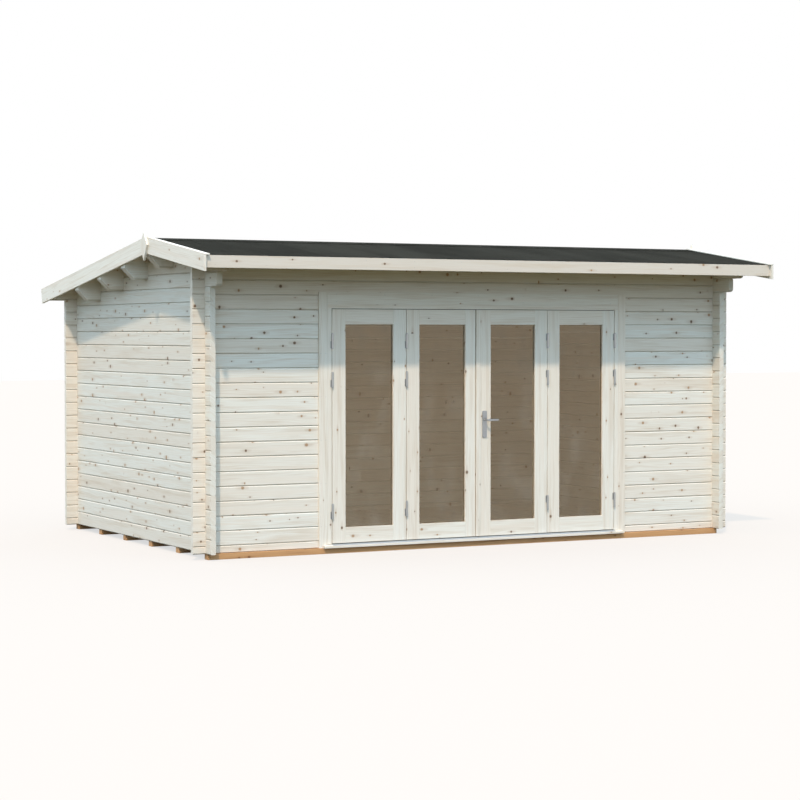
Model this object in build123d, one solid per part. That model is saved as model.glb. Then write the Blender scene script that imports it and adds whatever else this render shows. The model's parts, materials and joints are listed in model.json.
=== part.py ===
from build123d import *
import os
from math import ceil, cos, radians, sin, tan

# A log-built summer house: notched log walls, an off-centre gable roof, and a front of four glazed leaves.
# Millimetres. +X runs to the right along the front, +Y to the back, +Z up.
# The origin is on the ground, below the middle of the roof's outline.

# Walls, measured over their outer faces
WALL_LENGTH = 4810.0
WALL_DEPTH = 2970.0
LOG_PITCH = 114.0
LOG_THICKNESS = 44.0
LOG_BEVEL = 7.0
LOG_GAP = 0.4
CORNER_REACH = 103.0
NOTCH_CLEARANCE = 0.4

# Ground bearers and floor
BEARER_COUNT = 6
BEARER_WIDTH = 70.0
BEARER_HEIGHT = 45.0
BEARER_END_INSET = 10.0
BEARER_NOSE = 27.0
FLOOR_THICKNESS = 19.0
FLOOR_CLEARANCE = 0.4

# Roof form: the boards' underside at the ridge is measured above the door frame's head,
# and the ridge's setback is from the front wall's outer face
ROOF_PITCH = 8.1
RIDGE_HEIGHT = 474.0
RIDGE_SETBACK = 685.0
GABLE_OVERHANG = 200.0
FRONT_EAVE = 468.0
BACK_EAVE = 243.0
ROOF_BOARD_THICKNESS = 18.0
FELT_THICKNESS = 4.0
WEDGE_TIP = 4.0

# Purlins: the ridge one lies under the ridge, the others behind it at an even spacing
PURLIN_WIDTH = 90.0
PURLIN_DEPTH = 212.0
PURLIN_BEVEL = 12.0
PURLIN_SPACING = 559.0
PURLIN_END_CUT = 90.0
BACK_PURLIN_COUNT = 3
PURLIN_CLEARANCE = 0.4

# Eave brackets: the two gable logs that step forward over the front corner
LOWER_BRACKET_REACH = 235.0
UPPER_BRACKET_REACH = 378.0
BRACKET_ROUND = 34.0

# Roof edge boards
BARGE_DEPTH = 120.0
BARGE_THICKNESS = 18.0
BARGE_PAST_FASCIA = 25.0
COVER_STRIP_WIDTH = 45.0
COVER_STRIP_THICKNESS = 10.0
FASCIA_HEIGHT = 93.0
FASCIA_THICKNESS = 18.0
FINIAL_HEIGHT = 228.0
FINIAL_WIDTH = 140.0
FINIAL_THICKNESS = 18.0
FINIAL_RISE = 38.0
FINIAL_WAIST_SHARE = 0.54
BOARD_JOINT = 0.4

# Door frame
LEAF_COUNT = 4
LEAF_PITCH = 665.0
LEAF_HEIGHT = 1853.0
LEAF_THICKNESS = 40.0
LEAF_GAP = 5.0
JAMB_THICKNESS = 60.0
JAMB_DEPTH = 72.0
STOP_LIP = 14.0
OPENING_CLEARANCE = 3.0
FRAME_REVEAL = 39.0
CASING_THICKNESS = 18.0
SIDE_CASING_WIDTH = 73.0
HEAD_CASING_WIDTH = 96.0
SILL_HEIGHT = 28.0
SILL_NOSE_HEIGHT = 18.0
SILL_REACH = 52.0
SILL_HORN = 42.0
SILL_STRIP_THICKNESS = 2.0
SILL_STRIP_SETBACK = 2.0

# Leaves
GLASS_WIDTH = 427.0
TOP_RAIL = 120.0
BOTTOM_RAIL = 123.0
GLASS_THICKNESS = 4.0
GLASS_CLEARANCE = 0.3
GROOVE_DEPTH = 12.0
RAIL_JOINT = 0.3
MEETING_SHIFT = 24.0
MEETING_GAP = 7.0
MEETING_STRIP_WIDTH = 38.0
MEETING_STRIP_THICKNESS = 10.0

# Hinges: a lower and an upper knuckle, each with a flag on the face of the wood
HINGE_HEIGHT_SHARES = (0.136, 0.699, 0.864)
HINGE_LENGTH = 130.0
KNUCKLE_RADIUS = 8.5
FIXED_BARREL_SIDES = 10
KNUCKLE_STANDOFF = 0.5
KNUCKLE_GAP = 0.4
FLAG_WIDTH = 15.0
FLAG_THICKNESS = 2.0
FLAG_INSET = 1.0

# Handle
LEVER_HEIGHT = 953.0
LEVER_SETBACK = 80.0
LEVER_LENGTH = 108.0
LEVER_STANDOFF = 52.0
GRIP_HEIGHT = 20.0
GRIP_TIP_HEIGHT = 16.0
GRIP_THICKNESS = 11.0
GRIP_CHAMFER = 5.0
SPINDLE_RADIUS = 7.0
SPINDLE_CLEARANCE = 0.2
PLATE_WIDTH = 41.0
PLATE_HEIGHT = 219.0
PLATE_THICKNESS = 7.0
PLATE_CORNER = 5.0
PLATE_RISE = 74.0
KEYHOLE_DROP = 92.0
KEYHOLE_RADIUS = 9.0
KEYHOLE_SIDES = 12

# One overrun serves every cut
OVERRUN = 20.0

# Places worked out from the sizes above
SLOPE = tan(radians(ROOF_PITCH))
PITCH_COS = cos(radians(ROOF_PITCH))
PITCH_SIN = sin(radians(ROOF_PITCH))
ROOF_SKIN = ROOF_BOARD_THICKNESS + FELT_THICKNESS
BARGE_END = FASCIA_THICKNESS + BARGE_PAST_FASCIA
STRIP_END = BARGE_END + COVER_STRIP_THICKNESS * PITCH_SIN
LEFT = -WALL_LENGTH / 2
RIGHT = WALL_LENGTH / 2
FRONT = (FRONT_EAVE - WALL_DEPTH - BACK_EAVE) / 2
BACK = FRONT + WALL_DEPTH
BASE = BEARER_HEIGHT
RIDGE_Y = FRONT + RIDGE_SETBACK
BOARD_FRONT = FRONT - FRONT_EAVE
BOARD_BACK = BACK + BACK_EAVE
GABLE_LEFT = LEFT - GABLE_OVERHANG
GABLE_RIGHT = RIGHT + GABLE_OVERHANG

# Door set: four leaves side by side, centred on the front
SET_HALF = LEAF_COUNT * LEAF_PITCH / 2
JAMB_FACE = SET_HALF + LEAF_GAP / 2
JAMB_BACK = JAMB_FACE + JAMB_THICKNESS
OPENING_HALF = JAMB_BACK + OPENING_CLEARANCE
CASING_INNER = SET_HALF + FRAME_REVEAL
CASING_OUTER = CASING_INNER + SIDE_CASING_WIDTH
SILL_TOP = BASE + SILL_HEIGHT
LEAF_BOTTOM = SILL_TOP + SILL_STRIP_THICKNESS + LEAF_GAP
LEAF_TOP = LEAF_BOTTOM + LEAF_HEIGHT
HEAD_BOTTOM = LEAF_TOP + LEAF_GAP
HEAD_TOP = HEAD_BOTTOM + JAMB_THICKNESS
RIDGE_Z = HEAD_TOP + RIDGE_HEIGHT
HEAD_CASING_BOTTOM = LEAF_TOP + FRAME_REVEAL
HEAD_CASING_TOP = HEAD_CASING_BOTTOM + HEAD_CASING_WIDTH
HEAD_COURSE = ceil((HEAD_TOP - BASE) / LOG_PITCH + 1 / 2)
STILE_WIDTH = (LEAF_PITCH - GLASS_WIDTH) / 2
LEAF_FACE = FRONT - CASING_THICKNESS
LEAF_BACK = LEAF_FACE + LEAF_THICKNESS
STOP_FACE = LEAF_BACK + LEAF_GAP
GLASS_PLANE = LEAF_FACE + LEAF_THICKNESS / 2
GROOVE_HALF = GLASS_THICKNESS / 2 + GLASS_CLEARANCE
MEETING_X = -MEETING_SHIFT
HINGE_AXIS_Y = LEAF_FACE - KNUCKLE_STANDOFF - KNUCKLE_RADIUS
LEVER_X = MEETING_X + MEETING_GAP / 2 + LEVER_SETBACK
LEVER_Z = LEAF_BOTTOM + LEVER_HEIGHT


def roof_height(y, lift=0):
    """Height of the roof boards' underside at y, or of a parallel plane that lies above it by lift."""
    return RIDGE_Z - abs(y - RIDGE_Y) * SLOPE + lift / PITCH_COS


def block(x0, x1, y0, y1, z0, z1):
    """Box between two corners."""
    middle = Pos((x0 + x1) / 2, (y0 + y1) / 2, (z0 + z1) / 2)
    return middle * Box(x1 - x0, y1 - y0, z1 - z0)


def along_x(outline, x0, x1):
    """Solid with an outline of (y, z) points, from x0 to x1."""
    wire = Polyline([(x0, y, z) for y, z in outline], close=True)
    return extrude(make_face(wire), amount=x1 - x0, dir=(1, 0, 0))


def along_y(outline, y0, y1):
    """Solid with an outline of (x, z) points, from y0 to y1."""
    wire = Polyline([(x, y0, z) for x, z in outline], close=True)
    return extrude(make_face(wire), amount=y1 - y0, dir=(0, 1, 0))


def along_z(outline, z0, z1):
    """Solid with an outline of (x, y) points, from z0 to z1."""
    wire = Polyline([(x, y, z0) for x, y in outline], close=True)
    return extrude(make_face(wire), amount=z1 - z0, dir=(0, 0, 1))


def save(name, *pieces):
    """Write the solids of one node to its own file."""
    solids = [solid for piece in pieces for solid in piece.solids()]
    node = solids[0] if len(solids) == 1 else Compound(children=solids)
    node.label = name
    export_step(node, os.path.join("parts", name + ".step"))


# Logs
# Courses of the front and back walls are centred on whole pitches, so they start with a half log.
# Courses of the side walls are centred half a pitch higher, so they start with a whole one.
# Where two walls cross, each log keeps a neck of half a pitch about its centre, and the necks interlock.

def log_section(face, z0, z1):
    """Bevelled section of a log whose outer face lies at face, as (across, z) points."""
    near = face + LOG_BEVEL
    back = face + LOG_THICKNESS
    far = back - LOG_BEVEL
    low = z0 + LOG_BEVEL
    high = z1 - LOG_BEVEL
    return [(near, z0), (far, z0), (back, low), (back, high),
            (far, z1), (near, z1), (face, high), (face, low)]


def corner_notches(centre, cross, face, lengthwise):
    """The two cuts above and below a log's neck, where the wall at cross passes through it."""
    neck = LOG_PITCH / 4 - LOG_GAP / 2
    run = (cross - NOTCH_CLEARANCE, cross + LOG_THICKNESS + NOTCH_CLEARANCE)
    width = (face - OVERRUN, face + LOG_THICKNESS + OVERRUN)
    x_span, y_span = (run, width) if lengthwise == "x" else (width, run)
    above = block(*x_span, *y_span, centre + neck, centre + LOG_PITCH * 2)
    below = block(*x_span, *y_span, centre - LOG_PITCH, centre - neck)
    return [above, below]


def roof_space():
    """Everything above the roof boards' underside, to trim what reaches it."""
    front = BOARD_FRONT - OVERRUN
    back = BOARD_BACK + OVERRUN
    top = RIDGE_Z + LOG_PITCH * 2
    outline = [(front, roof_height(front)), (RIDGE_Y, roof_height(RIDGE_Y)), (back, roof_height(back)),
               (back, top), (front, top)]
    return along_x(outline, GABLE_LEFT - OVERRUN, GABLE_RIGHT + OVERRUN)


ROOF_SPACE = roof_space()


def long_courses(face_inner):
    """Last course of a wall along X, whose top is trimmed by the roof: its inner edge reaches highest."""
    return round((roof_height(face_inner) - BASE) / LOG_PITCH - 1 / 2)


def long_log(course, last, face, x0, x1):
    """One log along X, notched for each side wall that it crosses, and trimmed by the roof if it is last."""
    centre = BASE + course * LOG_PITCH
    low = max(BASE, centre - LOG_PITCH / 2)
    high = centre + LOG_PITCH / 2 - LOG_GAP
    if course == last:
        high = centre + LOG_PITCH
    log = along_x(log_section(face, low, high), x0, x1)
    for cross in (LEFT, RIGHT - LOG_THICKNESS):
        if x0 < cross < x1:
            log -= corner_notches(centre, cross, face, "x")
    return log - ROOF_SPACE if course == last else log


def long_wall(face, last, courses, x0, x1):
    """A stack of logs along X. The last course runs out under the gable overhangs as a wall plate."""
    logs = []
    for course in courses:
        plate = course == last
        start = GABLE_LEFT if plate and x0 < LEFT else x0
        end = GABLE_RIGHT if plate and x1 > RIGHT else x1
        logs.append(long_log(course, last, face, start, end))
    return logs


def purlin_places():
    """Front face and underside of each purlin, from the ridge to the back."""
    places = []
    for step in range(BACK_PURLIN_COUNT + 1):
        middle = RIDGE_Y + step * PURLIN_SPACING
        places.append((middle - PURLIN_WIDTH / 2, roof_height(middle) - PURLIN_DEPTH))
    return places


def purlin(y, z):
    """Deep beam on edge, bevelled below. Its ends are cut back below, and its top follows the roof."""
    top = RIDGE_Z + LOG_PITCH
    back = y + PURLIN_WIDTH
    bevel = PURLIN_BEVEL
    section = [(y, top), (y, z + bevel), (y + bevel, z), (back - bevel, z), (back, z + bevel), (back, top)]
    cut = PURLIN_END_CUT
    outline = [(GABLE_LEFT, top), (GABLE_LEFT, z + cut), (GABLE_LEFT + cut, z),
               (GABLE_RIGHT - cut, z), (GABLE_RIGHT, z + cut), (GABLE_RIGHT, top)]
    return (along_y(outline, y, back) & along_x(section, GABLE_LEFT, GABLE_RIGHT)) - ROOF_SPACE


def bracket_corner(face, y, z):
    """Waste cut from the lower front corner of a log that ends at y, to round it."""
    x0 = face - OVERRUN
    x1 = face + LOG_THICKNESS + OVERRUN
    corner = block(x0, x1, y - BRACKET_ROUND, y + BRACKET_ROUND, z - BRACKET_ROUND, z + BRACKET_ROUND)
    centre = Pos((x0 + x1) / 2, y + BRACKET_ROUND, z + BRACKET_ROUND)
    return corner - centre * Rot(0, 90, 0) * Cylinder(BRACKET_ROUND, x1 - x0)


def side_log(course, face, first_gable):
    """One log along Y with its corner notches, cut for the roof and for the purlins that pass through it."""
    centre = BASE + (course + 1 / 2) * LOG_PITCH
    low = centre - LOG_PITCH / 2
    high = low + LOG_PITCH - LOG_GAP
    reaches = {first_gable: LOWER_BRACKET_REACH, first_gable + 1: UPPER_BRACKET_REACH}
    reach = reaches.get(course, CORNER_REACH)
    meets_roof = RIDGE_Y + (RIDGE_Z - low - WEDGE_TIP) / SLOPE
    start = FRONT - reach
    end = min(BACK + CORNER_REACH, meets_roof)
    if high + LOG_PITCH / 2 > RIDGE_Z:
        high = RIDGE_Z + LOG_PITCH / 2
    log = along_y(log_section(face, low, high), start, end)
    for cross in (FRONT, BACK - LOG_THICKNESS):
        if cross + LOG_THICKNESS < end:
            log -= corner_notches(centre, cross, face, "y")
    if course in reaches:
        log -= bracket_corner(face, start, low)
    if high > min(roof_height(start), roof_height(end)):
        log -= ROOF_SPACE
    for y, z in purlin_places():
        if z - PURLIN_CLEARANCE < high and y < end:
            top = max(high, z) + LOG_PITCH
            y1 = y + PURLIN_WIDTH + PURLIN_CLEARANCE
            log -= block(face - OVERRUN, face + LOG_THICKNESS + OVERRUN, y - PURLIN_CLEARANCE, y1,
                         z - PURLIN_CLEARANCE, top)
    return log


def side_wall(face):
    """Logs of a side wall, as the lower stack and the gable above it."""
    last = ceil((RIDGE_Z - BASE) / LOG_PITCH - 1 / 2) - 1
    first_gable = int((roof_height(BACK) - BASE) // LOG_PITCH)
    logs = [side_log(course, face, first_gable) for course in range(last + 1)]
    return logs[:first_gable], logs[first_gable:]


def build_walls():
    front_last = long_courses(FRONT + LOG_THICKNESS)
    back_last = long_courses(BACK - LOG_THICKNESS)
    x0 = LEFT - CORNER_REACH
    x1 = RIGHT + CORNER_REACH
    below_head = range(HEAD_COURSE)
    over_head = range(HEAD_COURSE, front_last + 1)
    save("front_wall_logs_left", *long_wall(FRONT, front_last, below_head, x0, -OPENING_HALF))
    save("front_wall_logs_right", *long_wall(FRONT, front_last, below_head, OPENING_HALF, x1))
    save("front_wall_head_logs", *long_wall(FRONT, front_last, over_head, x0, x1))
    save("back_wall_logs", *long_wall(BACK - LOG_THICKNESS, back_last, range(back_last + 1), x0, x1))
    for side, face in (("left", LEFT), ("right", RIGHT - LOG_THICKNESS)):
        wall, gable = side_wall(face)
        save(side + "_wall_logs", *wall)
        save(side + "_gable_logs", *gable)


# Ground bearers and floor

def build_base():
    first = FRONT - BEARER_NOSE
    last = BACK + BEARER_NOSE - BEARER_WIDTH
    spacing = (last - first) / (BEARER_COUNT - 1)
    x0 = LEFT + BEARER_END_INSET
    x1 = RIGHT - BEARER_END_INSET
    bearers = []
    for index in range(BEARER_COUNT):
        y = first + index * spacing
        bearers.append(block(x0, x1, y, y + BEARER_WIDTH, 0, BEARER_HEIGHT))
    save("ground_bearers", *bearers)
    inset = LOG_THICKNESS + FLOOR_CLEARANCE
    top = BASE + FLOOR_THICKNESS
    save("floor", block(LEFT + inset, RIGHT - inset, FRONT + inset, BACK - inset, BASE, top))


# Roof

def slope_layer(low, high, end, x0, x1):
    """A layer of one slope, from the ridge to end, between two lifts above the boards' underside."""
    outline = [(RIDGE_Y, roof_height(RIDGE_Y, low)), (end, roof_height(end, low)),
               (end, roof_height(end, high)), (RIDGE_Y, roof_height(RIDGE_Y, high))]
    return along_x(outline, x0, x1)


def verge_board(low, high, end, x0, x1):
    """A board along the verge: plumb at the ridge and in front, and cut square to the slope at the back."""
    outwards = 1 if end > RIDGE_Y else -1
    joint = RIDGE_Y + outwards * BOARD_JOINT / 2
    foot = end - (high - low) * PITCH_SIN if end > RIDGE_Y else end
    outline = [(joint, roof_height(joint, low)), (foot, roof_height(foot, low)),
               (end, roof_height(end, high)), (joint, roof_height(joint, high))]
    return along_x(outline, x0, x1)


def finial(x0, x1):
    """Kite-shaped plate over the joint of two barge boards."""
    top = roof_height(RIDGE_Y, ROOF_SKIN + COVER_STRIP_THICKNESS) + FINIAL_RISE
    waist = top - FINIAL_HEIGHT * (1 - FINIAL_WAIST_SHARE)
    half = FINIAL_WIDTH / 2
    foot = top - FINIAL_HEIGHT
    outline = [(RIDGE_Y, top), (RIDGE_Y + half, waist), (RIDGE_Y, foot), (RIDGE_Y - half, waist)]
    return along_x(outline, x0, x1)


def build_roof():
    places = purlin_places()
    save("ridge_purlin", purlin(*places[0]))
    save("back_purlins", *[purlin(*place) for place in places[1:]])
    for side, edge, outwards in (("front", BOARD_FRONT, -1), ("back", BOARD_BACK, 1)):
        boards = slope_layer(0, ROOF_BOARD_THICKNESS, edge, GABLE_LEFT, GABLE_RIGHT)
        save(side + "_roof_boards", boards)
        outer = edge + outwards * FASCIA_THICKNESS
        felt = slope_layer(ROOF_BOARD_THICKNESS, ROOF_SKIN, outer, GABLE_LEFT, GABLE_RIGHT)
        save(side + "_roof_felt", felt)
        top = roof_height(outer, ROOF_BOARD_THICKNESS)
        near, far = sorted((edge, outer))
        save(side + "_fascia", block(GABLE_LEFT, GABLE_RIGHT, near, far, top - FASCIA_HEIGHT, top))
    ends = (BOARD_FRONT - BARGE_END, BOARD_BACK + BARGE_END)
    strip_ends = (BOARD_FRONT - STRIP_END, BOARD_BACK + STRIP_END)
    for side, inner, outwards in (("left", GABLE_LEFT, -1), ("right", GABLE_RIGHT, 1)):
        outer = inner + outwards * BARGE_THICKNESS
        x0, x1 = sorted((inner, outer))
        foot = ROOF_SKIN - BARGE_DEPTH
        save(side + "_barge_boards", *[verge_board(foot, ROOF_SKIN, end, x0, x1) for end in ends])
        x0, x1 = sorted((outer - outwards * COVER_STRIP_WIDTH, outer))
        lift = ROOF_SKIN + COVER_STRIP_THICKNESS
        save(side + "_cover_strips", *[verge_board(ROOF_SKIN, lift, end, x0, x1) for end in strip_ends])
        x0, x1 = sorted((outer, outer + outwards * FINIAL_THICKNESS))
        save(side + "_finial", finial(x0, x1))


# Door frame

def build_door_frame():
    inner = FRONT + LOG_THICKNESS
    depth = FRONT + JAMB_DEPTH
    jambs = []
    for side in (-1, 1):
        face = side * JAMB_FACE
        lip = side * (JAMB_FACE - STOP_LIP)
        back = side * JAMB_BACK
        beside = side * (CASING_INNER - BOARD_JOINT)
        outline = [(back, FRONT), (beside, FRONT), (beside, LEAF_FACE), (face, LEAF_FACE), (face, STOP_FACE),
                   (lip, STOP_FACE), (lip, depth), (back, depth)]
        jambs.append(along_z(outline, SILL_TOP, HEAD_BOTTOM))
    save("door_jambs", *jambs)
    lip = HEAD_BOTTOM - STOP_LIP
    section = [(FRONT, HEAD_TOP), (FRONT, HEAD_BOTTOM), (STOP_FACE, HEAD_BOTTOM), (STOP_FACE, lip),
               (depth, lip), (depth, HEAD_TOP)]
    head = along_x(section, -JAMB_BACK, JAMB_BACK)
    beside = CASING_INNER - BOARD_JOINT
    head += block(-beside, beside, LEAF_FACE, FRONT, HEAD_BOTTOM, HEAD_CASING_BOTTOM - BOARD_JOINT)
    for side in (-1, 1):
        ends = sorted((side * (JAMB_FACE - STOP_LIP - BOARD_JOINT), side * (JAMB_BACK + OVERRUN)))
        head -= block(*ends, FRONT - OVERRUN, depth + OVERRUN, lip - OVERRUN, HEAD_BOTTOM)
    save("door_head", head)
    save("outside_casing", *casing(LEAF_FACE, FRONT, CASING_INNER, HEAD_CASING_BOTTOM, BASE))
    floor_top = BASE + FLOOR_THICKNESS
    beside_jamb = JAMB_BACK + BOARD_JOINT
    over = HEAD_TOP + BOARD_JOINT
    save("inside_casing", *casing(inner, inner + CASING_THICKNESS, beside_jamb, over, floor_top))
    nose = FRONT - SILL_REACH
    back = FRONT + LOG_THICKNESS
    top = SILL_TOP
    nose_top = BASE + SILL_NOSE_HEIGHT
    slope = [(nose, BASE), (nose, nose_top), (FRONT, top), (FRONT, BASE)]
    sill = along_x([(FRONT, BASE), (FRONT, top), (back, top), (back, BASE)], -JAMB_BACK, JAMB_BACK)
    sill += along_x(slope, -CASING_INNER + BOARD_JOINT, CASING_INNER - BOARD_JOINT)
    horn = CASING_INNER + SILL_HORN
    past_horn = horn + OVERRUN
    horns = along_x(slope, -horn, horn)
    horns -= block(-past_horn, past_horn, LEAF_FACE - BOARD_JOINT, FRONT + OVERRUN,
                   BASE - OVERRUN, top + OVERRUN)
    save("door_sill", sill + horns)
    strip_nose = nose + SILL_STRIP_SETBACK
    strip_low = nose_top + (SILL_TOP - nose_top) * SILL_STRIP_SETBACK / SILL_REACH
    lift = SILL_STRIP_THICKNESS
    strip = [(strip_nose, strip_low), (FRONT, top), (LEAF_BACK, top), (LEAF_BACK, top + lift),
             (FRONT, top + lift), (strip_nose, strip_low + lift)]
    half = JAMB_FACE - BOARD_JOINT
    save("sill_strip", along_x(strip, -half, half))


def casing(y0, y1, inner, head_bottom, foot):
    """Two upright boards beside the doorway and one between them over its head."""
    boards = []
    for side in (-1, 1):
        x0, x1 = sorted((side * inner, side * CASING_OUTER))
        boards.append(block(x0, x1, y0, y1, foot, HEAD_CASING_TOP))
    end = inner - BOARD_JOINT
    boards.append(block(-end, end, y0, y1, head_bottom, HEAD_CASING_TOP))
    return boards


# Leaves: two stiles and two rails, grooved for the pane

def sash_section(width):
    """Section of a stile or rail with the pane's groove in its inner edge, as (from outer edge, y) points."""
    floor = width - GROOVE_DEPTH
    near = GLASS_PLANE - GROOVE_HALF
    far = GLASS_PLANE + GROOVE_HALF
    return [(0, LEAF_FACE), (width, LEAF_FACE), (width, near), (floor, near), (floor, far), (width, far),
            (width, LEAF_BACK), (0, LEAF_BACK)]


def leaf(x0, x1, glass_x0, glass_x1):
    """Frame members and pane of one leaf."""
    left = [(x0 + u, y) for u, y in sash_section(glass_x0 - x0)]
    right = [(x1 - u, y) for u, y in sash_section(x1 - glass_x1)]
    stiles = [along_z(left, LEAF_BOTTOM, LEAF_TOP), along_z(right, LEAF_BOTTOM, LEAF_TOP)]
    bottom = [(y, LEAF_BOTTOM + u) for u, y in sash_section(BOTTOM_RAIL)]
    top = [(y, LEAF_TOP - u) for u, y in sash_section(TOP_RAIL)]
    rail_x0 = glass_x0 + RAIL_JOINT
    rail_x1 = glass_x1 - RAIL_JOINT
    rails = [along_x(bottom, rail_x0, rail_x1), along_x(top, rail_x0, rail_x1)]
    bite = GROOVE_DEPTH - GLASS_CLEARANCE
    half = GLASS_THICKNESS / 2
    pane = block(glass_x0 - bite, glass_x1 + bite, GLASS_PLANE - half, GLASS_PLANE + half,
                 LEAF_BOTTOM + BOTTOM_RAIL - bite, LEAF_TOP - TOP_RAIL + bite)
    return stiles + rails, pane


def spindle_hole():
    """Bore for the lever's spindle, right through the leaf and its plates."""
    radius = SPINDLE_RADIUS + SPINDLE_CLEARANCE
    length = LEAF_THICKNESS + (PLATE_THICKNESS + OVERRUN) * 2
    return Pos(LEVER_X, GLASS_PLANE, LEVER_Z) * Rot(90, 0, 0) * Cylinder(radius, length)


def build_leaves():
    gap = LEAF_GAP / 2
    meeting = MEETING_GAP / 2
    edges = {"left_side_leaf": (-2, gap, -1, gap), "left_door": (-1, gap, 0, meeting),
             "right_door": (0, meeting, 1, gap), "right_side_leaf": (1, gap, 2, gap)}
    for name, (start, start_gap, end, end_gap) in edges.items():
        x0 = start * LEAF_PITCH + start_gap + (MEETING_X if start == 0 else 0)
        x1 = end * LEAF_PITCH - end_gap + (MEETING_X if end == 0 else 0)
        glass_x0 = start * LEAF_PITCH + STILE_WIDTH
        frame, pane = leaf(x0, x1, glass_x0, glass_x0 + GLASS_WIDTH)
        if name == "right_door":
            frame[0] -= spindle_hole()
        save(name + "_frame", *frame)
        save(name + "_glass", pane)
    x0 = MEETING_X + meeting
    y0 = LEAF_FACE - MEETING_STRIP_THICKNESS
    save("meeting_strip", block(x0, x0 + MEETING_STRIP_WIDTH, y0, LEAF_FACE, LEAF_BOTTOM, LEAF_TOP))


# Hinges

def knuckle(x, z0, z1, flag_side, swings):
    """Half of a hinge: a barrel on the axis at x, round where it swings, and a flag on the wood beside it."""
    if swings:
        barrel = Pos(x, HINGE_AXIS_Y, (z0 + z1) / 2) * Cylinder(KNUCKLE_RADIUS, z1 - z0)
    else:
        sides = RegularPolygon(KNUCKLE_RADIUS, FIXED_BARREL_SIDES)
        barrel = Pos(x, HINGE_AXIS_Y, z0) * extrude(sides, amount=z1 - z0)
    flag_x = sorted((x + flag_side * FLAG_INSET, x + flag_side * FLAG_WIDTH))
    return barrel + block(*flag_x, LEAF_FACE - FLAG_THICKNESS, LEAF_FACE, z0, z1)


def hinge_column(x, flag_side, upper, swings=False):
    """The lower or the upper halves of the three hinges on one edge."""
    halves = []
    for share in HINGE_HEIGHT_SHARES:
        middle = LEAF_BOTTOM + LEAF_HEIGHT * share
        low = middle + KNUCKLE_GAP / 2 if upper else middle - HINGE_LENGTH / 2
        high = middle + HINGE_LENGTH / 2 if upper else middle - KNUCKLE_GAP / 2
        halves.append(knuckle(x, low, high, flag_side, swings))
    return halves


def build_hinges():
    jamb = []
    side_leaf = []
    for side in (-1, 1):
        outer = side * LEAF_COUNT / 2 * LEAF_PITCH
        jamb += hinge_column(outer, side, False) + hinge_column(outer, -side, True)
        side_leaf += hinge_column(side * LEAF_PITCH, side, False)
    save("jamb_hinges", *jamb)
    save("side_leaf_hinge_halves", *side_leaf)
    save("left_door_hinge_halves", *hinge_column(-LEAF_PITCH, 1, True, swings=True))
    save("right_door_hinge_halves", *hinge_column(LEAF_PITCH, -1, True, swings=True))


# Handle

def plate(face, outwards):
    """Handle plate on one face of the leaf, with holes for the spindle and the lock cylinder."""
    top = LEVER_Z + PLATE_RISE
    middle = face + outwards * PLATE_THICKNESS / 2
    blank = Pos(LEVER_X, middle, top - PLATE_HEIGHT / 2) * Box(PLATE_WIDTH, PLATE_THICKNESS, PLATE_HEIGHT)
    blank = chamfer(blank.edges().filter_by(Axis.Y), PLATE_CORNER)
    place = Pos(LEVER_X, middle, LEVER_Z - KEYHOLE_DROP) * Rot(90, 0, 0)
    keyhole = extrude(RegularPolygon(KEYHOLE_RADIUS, KEYHOLE_SIDES), amount=PLATE_THICKNESS, both=True)
    return blank - spindle_hole() - place * keyhole


def lever():
    """Two flat grips, chamfered at heel and tip, and the round spindle that joins them, turning as one."""
    heel_x = LEVER_X - GRIP_HEIGHT / 2
    tip_x = LEVER_X + LEVER_LENGTH
    heel = GRIP_HEIGHT / 2
    tip = GRIP_TIP_HEIGHT / 2
    cut = GRIP_CHAMFER
    upper = [(heel_x, heel - cut), (heel_x + cut, heel), (tip_x - cut, tip), (tip_x, tip - cut)]
    lower = [(x, -rise) for x, rise in reversed(upper)]
    outline = [(x, LEVER_Z + rise) for x, rise in upper + lower]
    reach = LEVER_STANDOFF + LEAF_THICKNESS / 2
    handle = Pos(LEVER_X, GLASS_PLANE, LEVER_Z) * Rot(90, 0, 0) * Cylinder(SPINDLE_RADIUS, reach * 2)
    for middle in (GLASS_PLANE - reach, GLASS_PLANE + reach):
        handle += along_y(outline, middle - GRIP_THICKNESS / 2, middle + GRIP_THICKNESS / 2)
    return handle


def build_handle():
    save("handle_plates", plate(LEAF_FACE, -1), plate(LEAF_BACK, 1))
    save("door_lever", lever())


os.makedirs("parts", exist_ok=True)
build_base()
build_walls()
build_roof()
build_door_frame()
build_leaves()
build_hinges()
build_handle()
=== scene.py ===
# %% [markdown]
# # A log summer house, dressed for its portrait
#
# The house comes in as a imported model: every log, board, pane and hinge already has its real size and
# place. This lesson gives those pieces their finishes, and adds what is too fine for the construction
# model: boards with open joints, felt laid in strips, glazing beads, hinges, screws and a handle. It
# could all be painted on with bump, but shapes that are really there hold up in close views and in every
# light.

import json
import math

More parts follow.
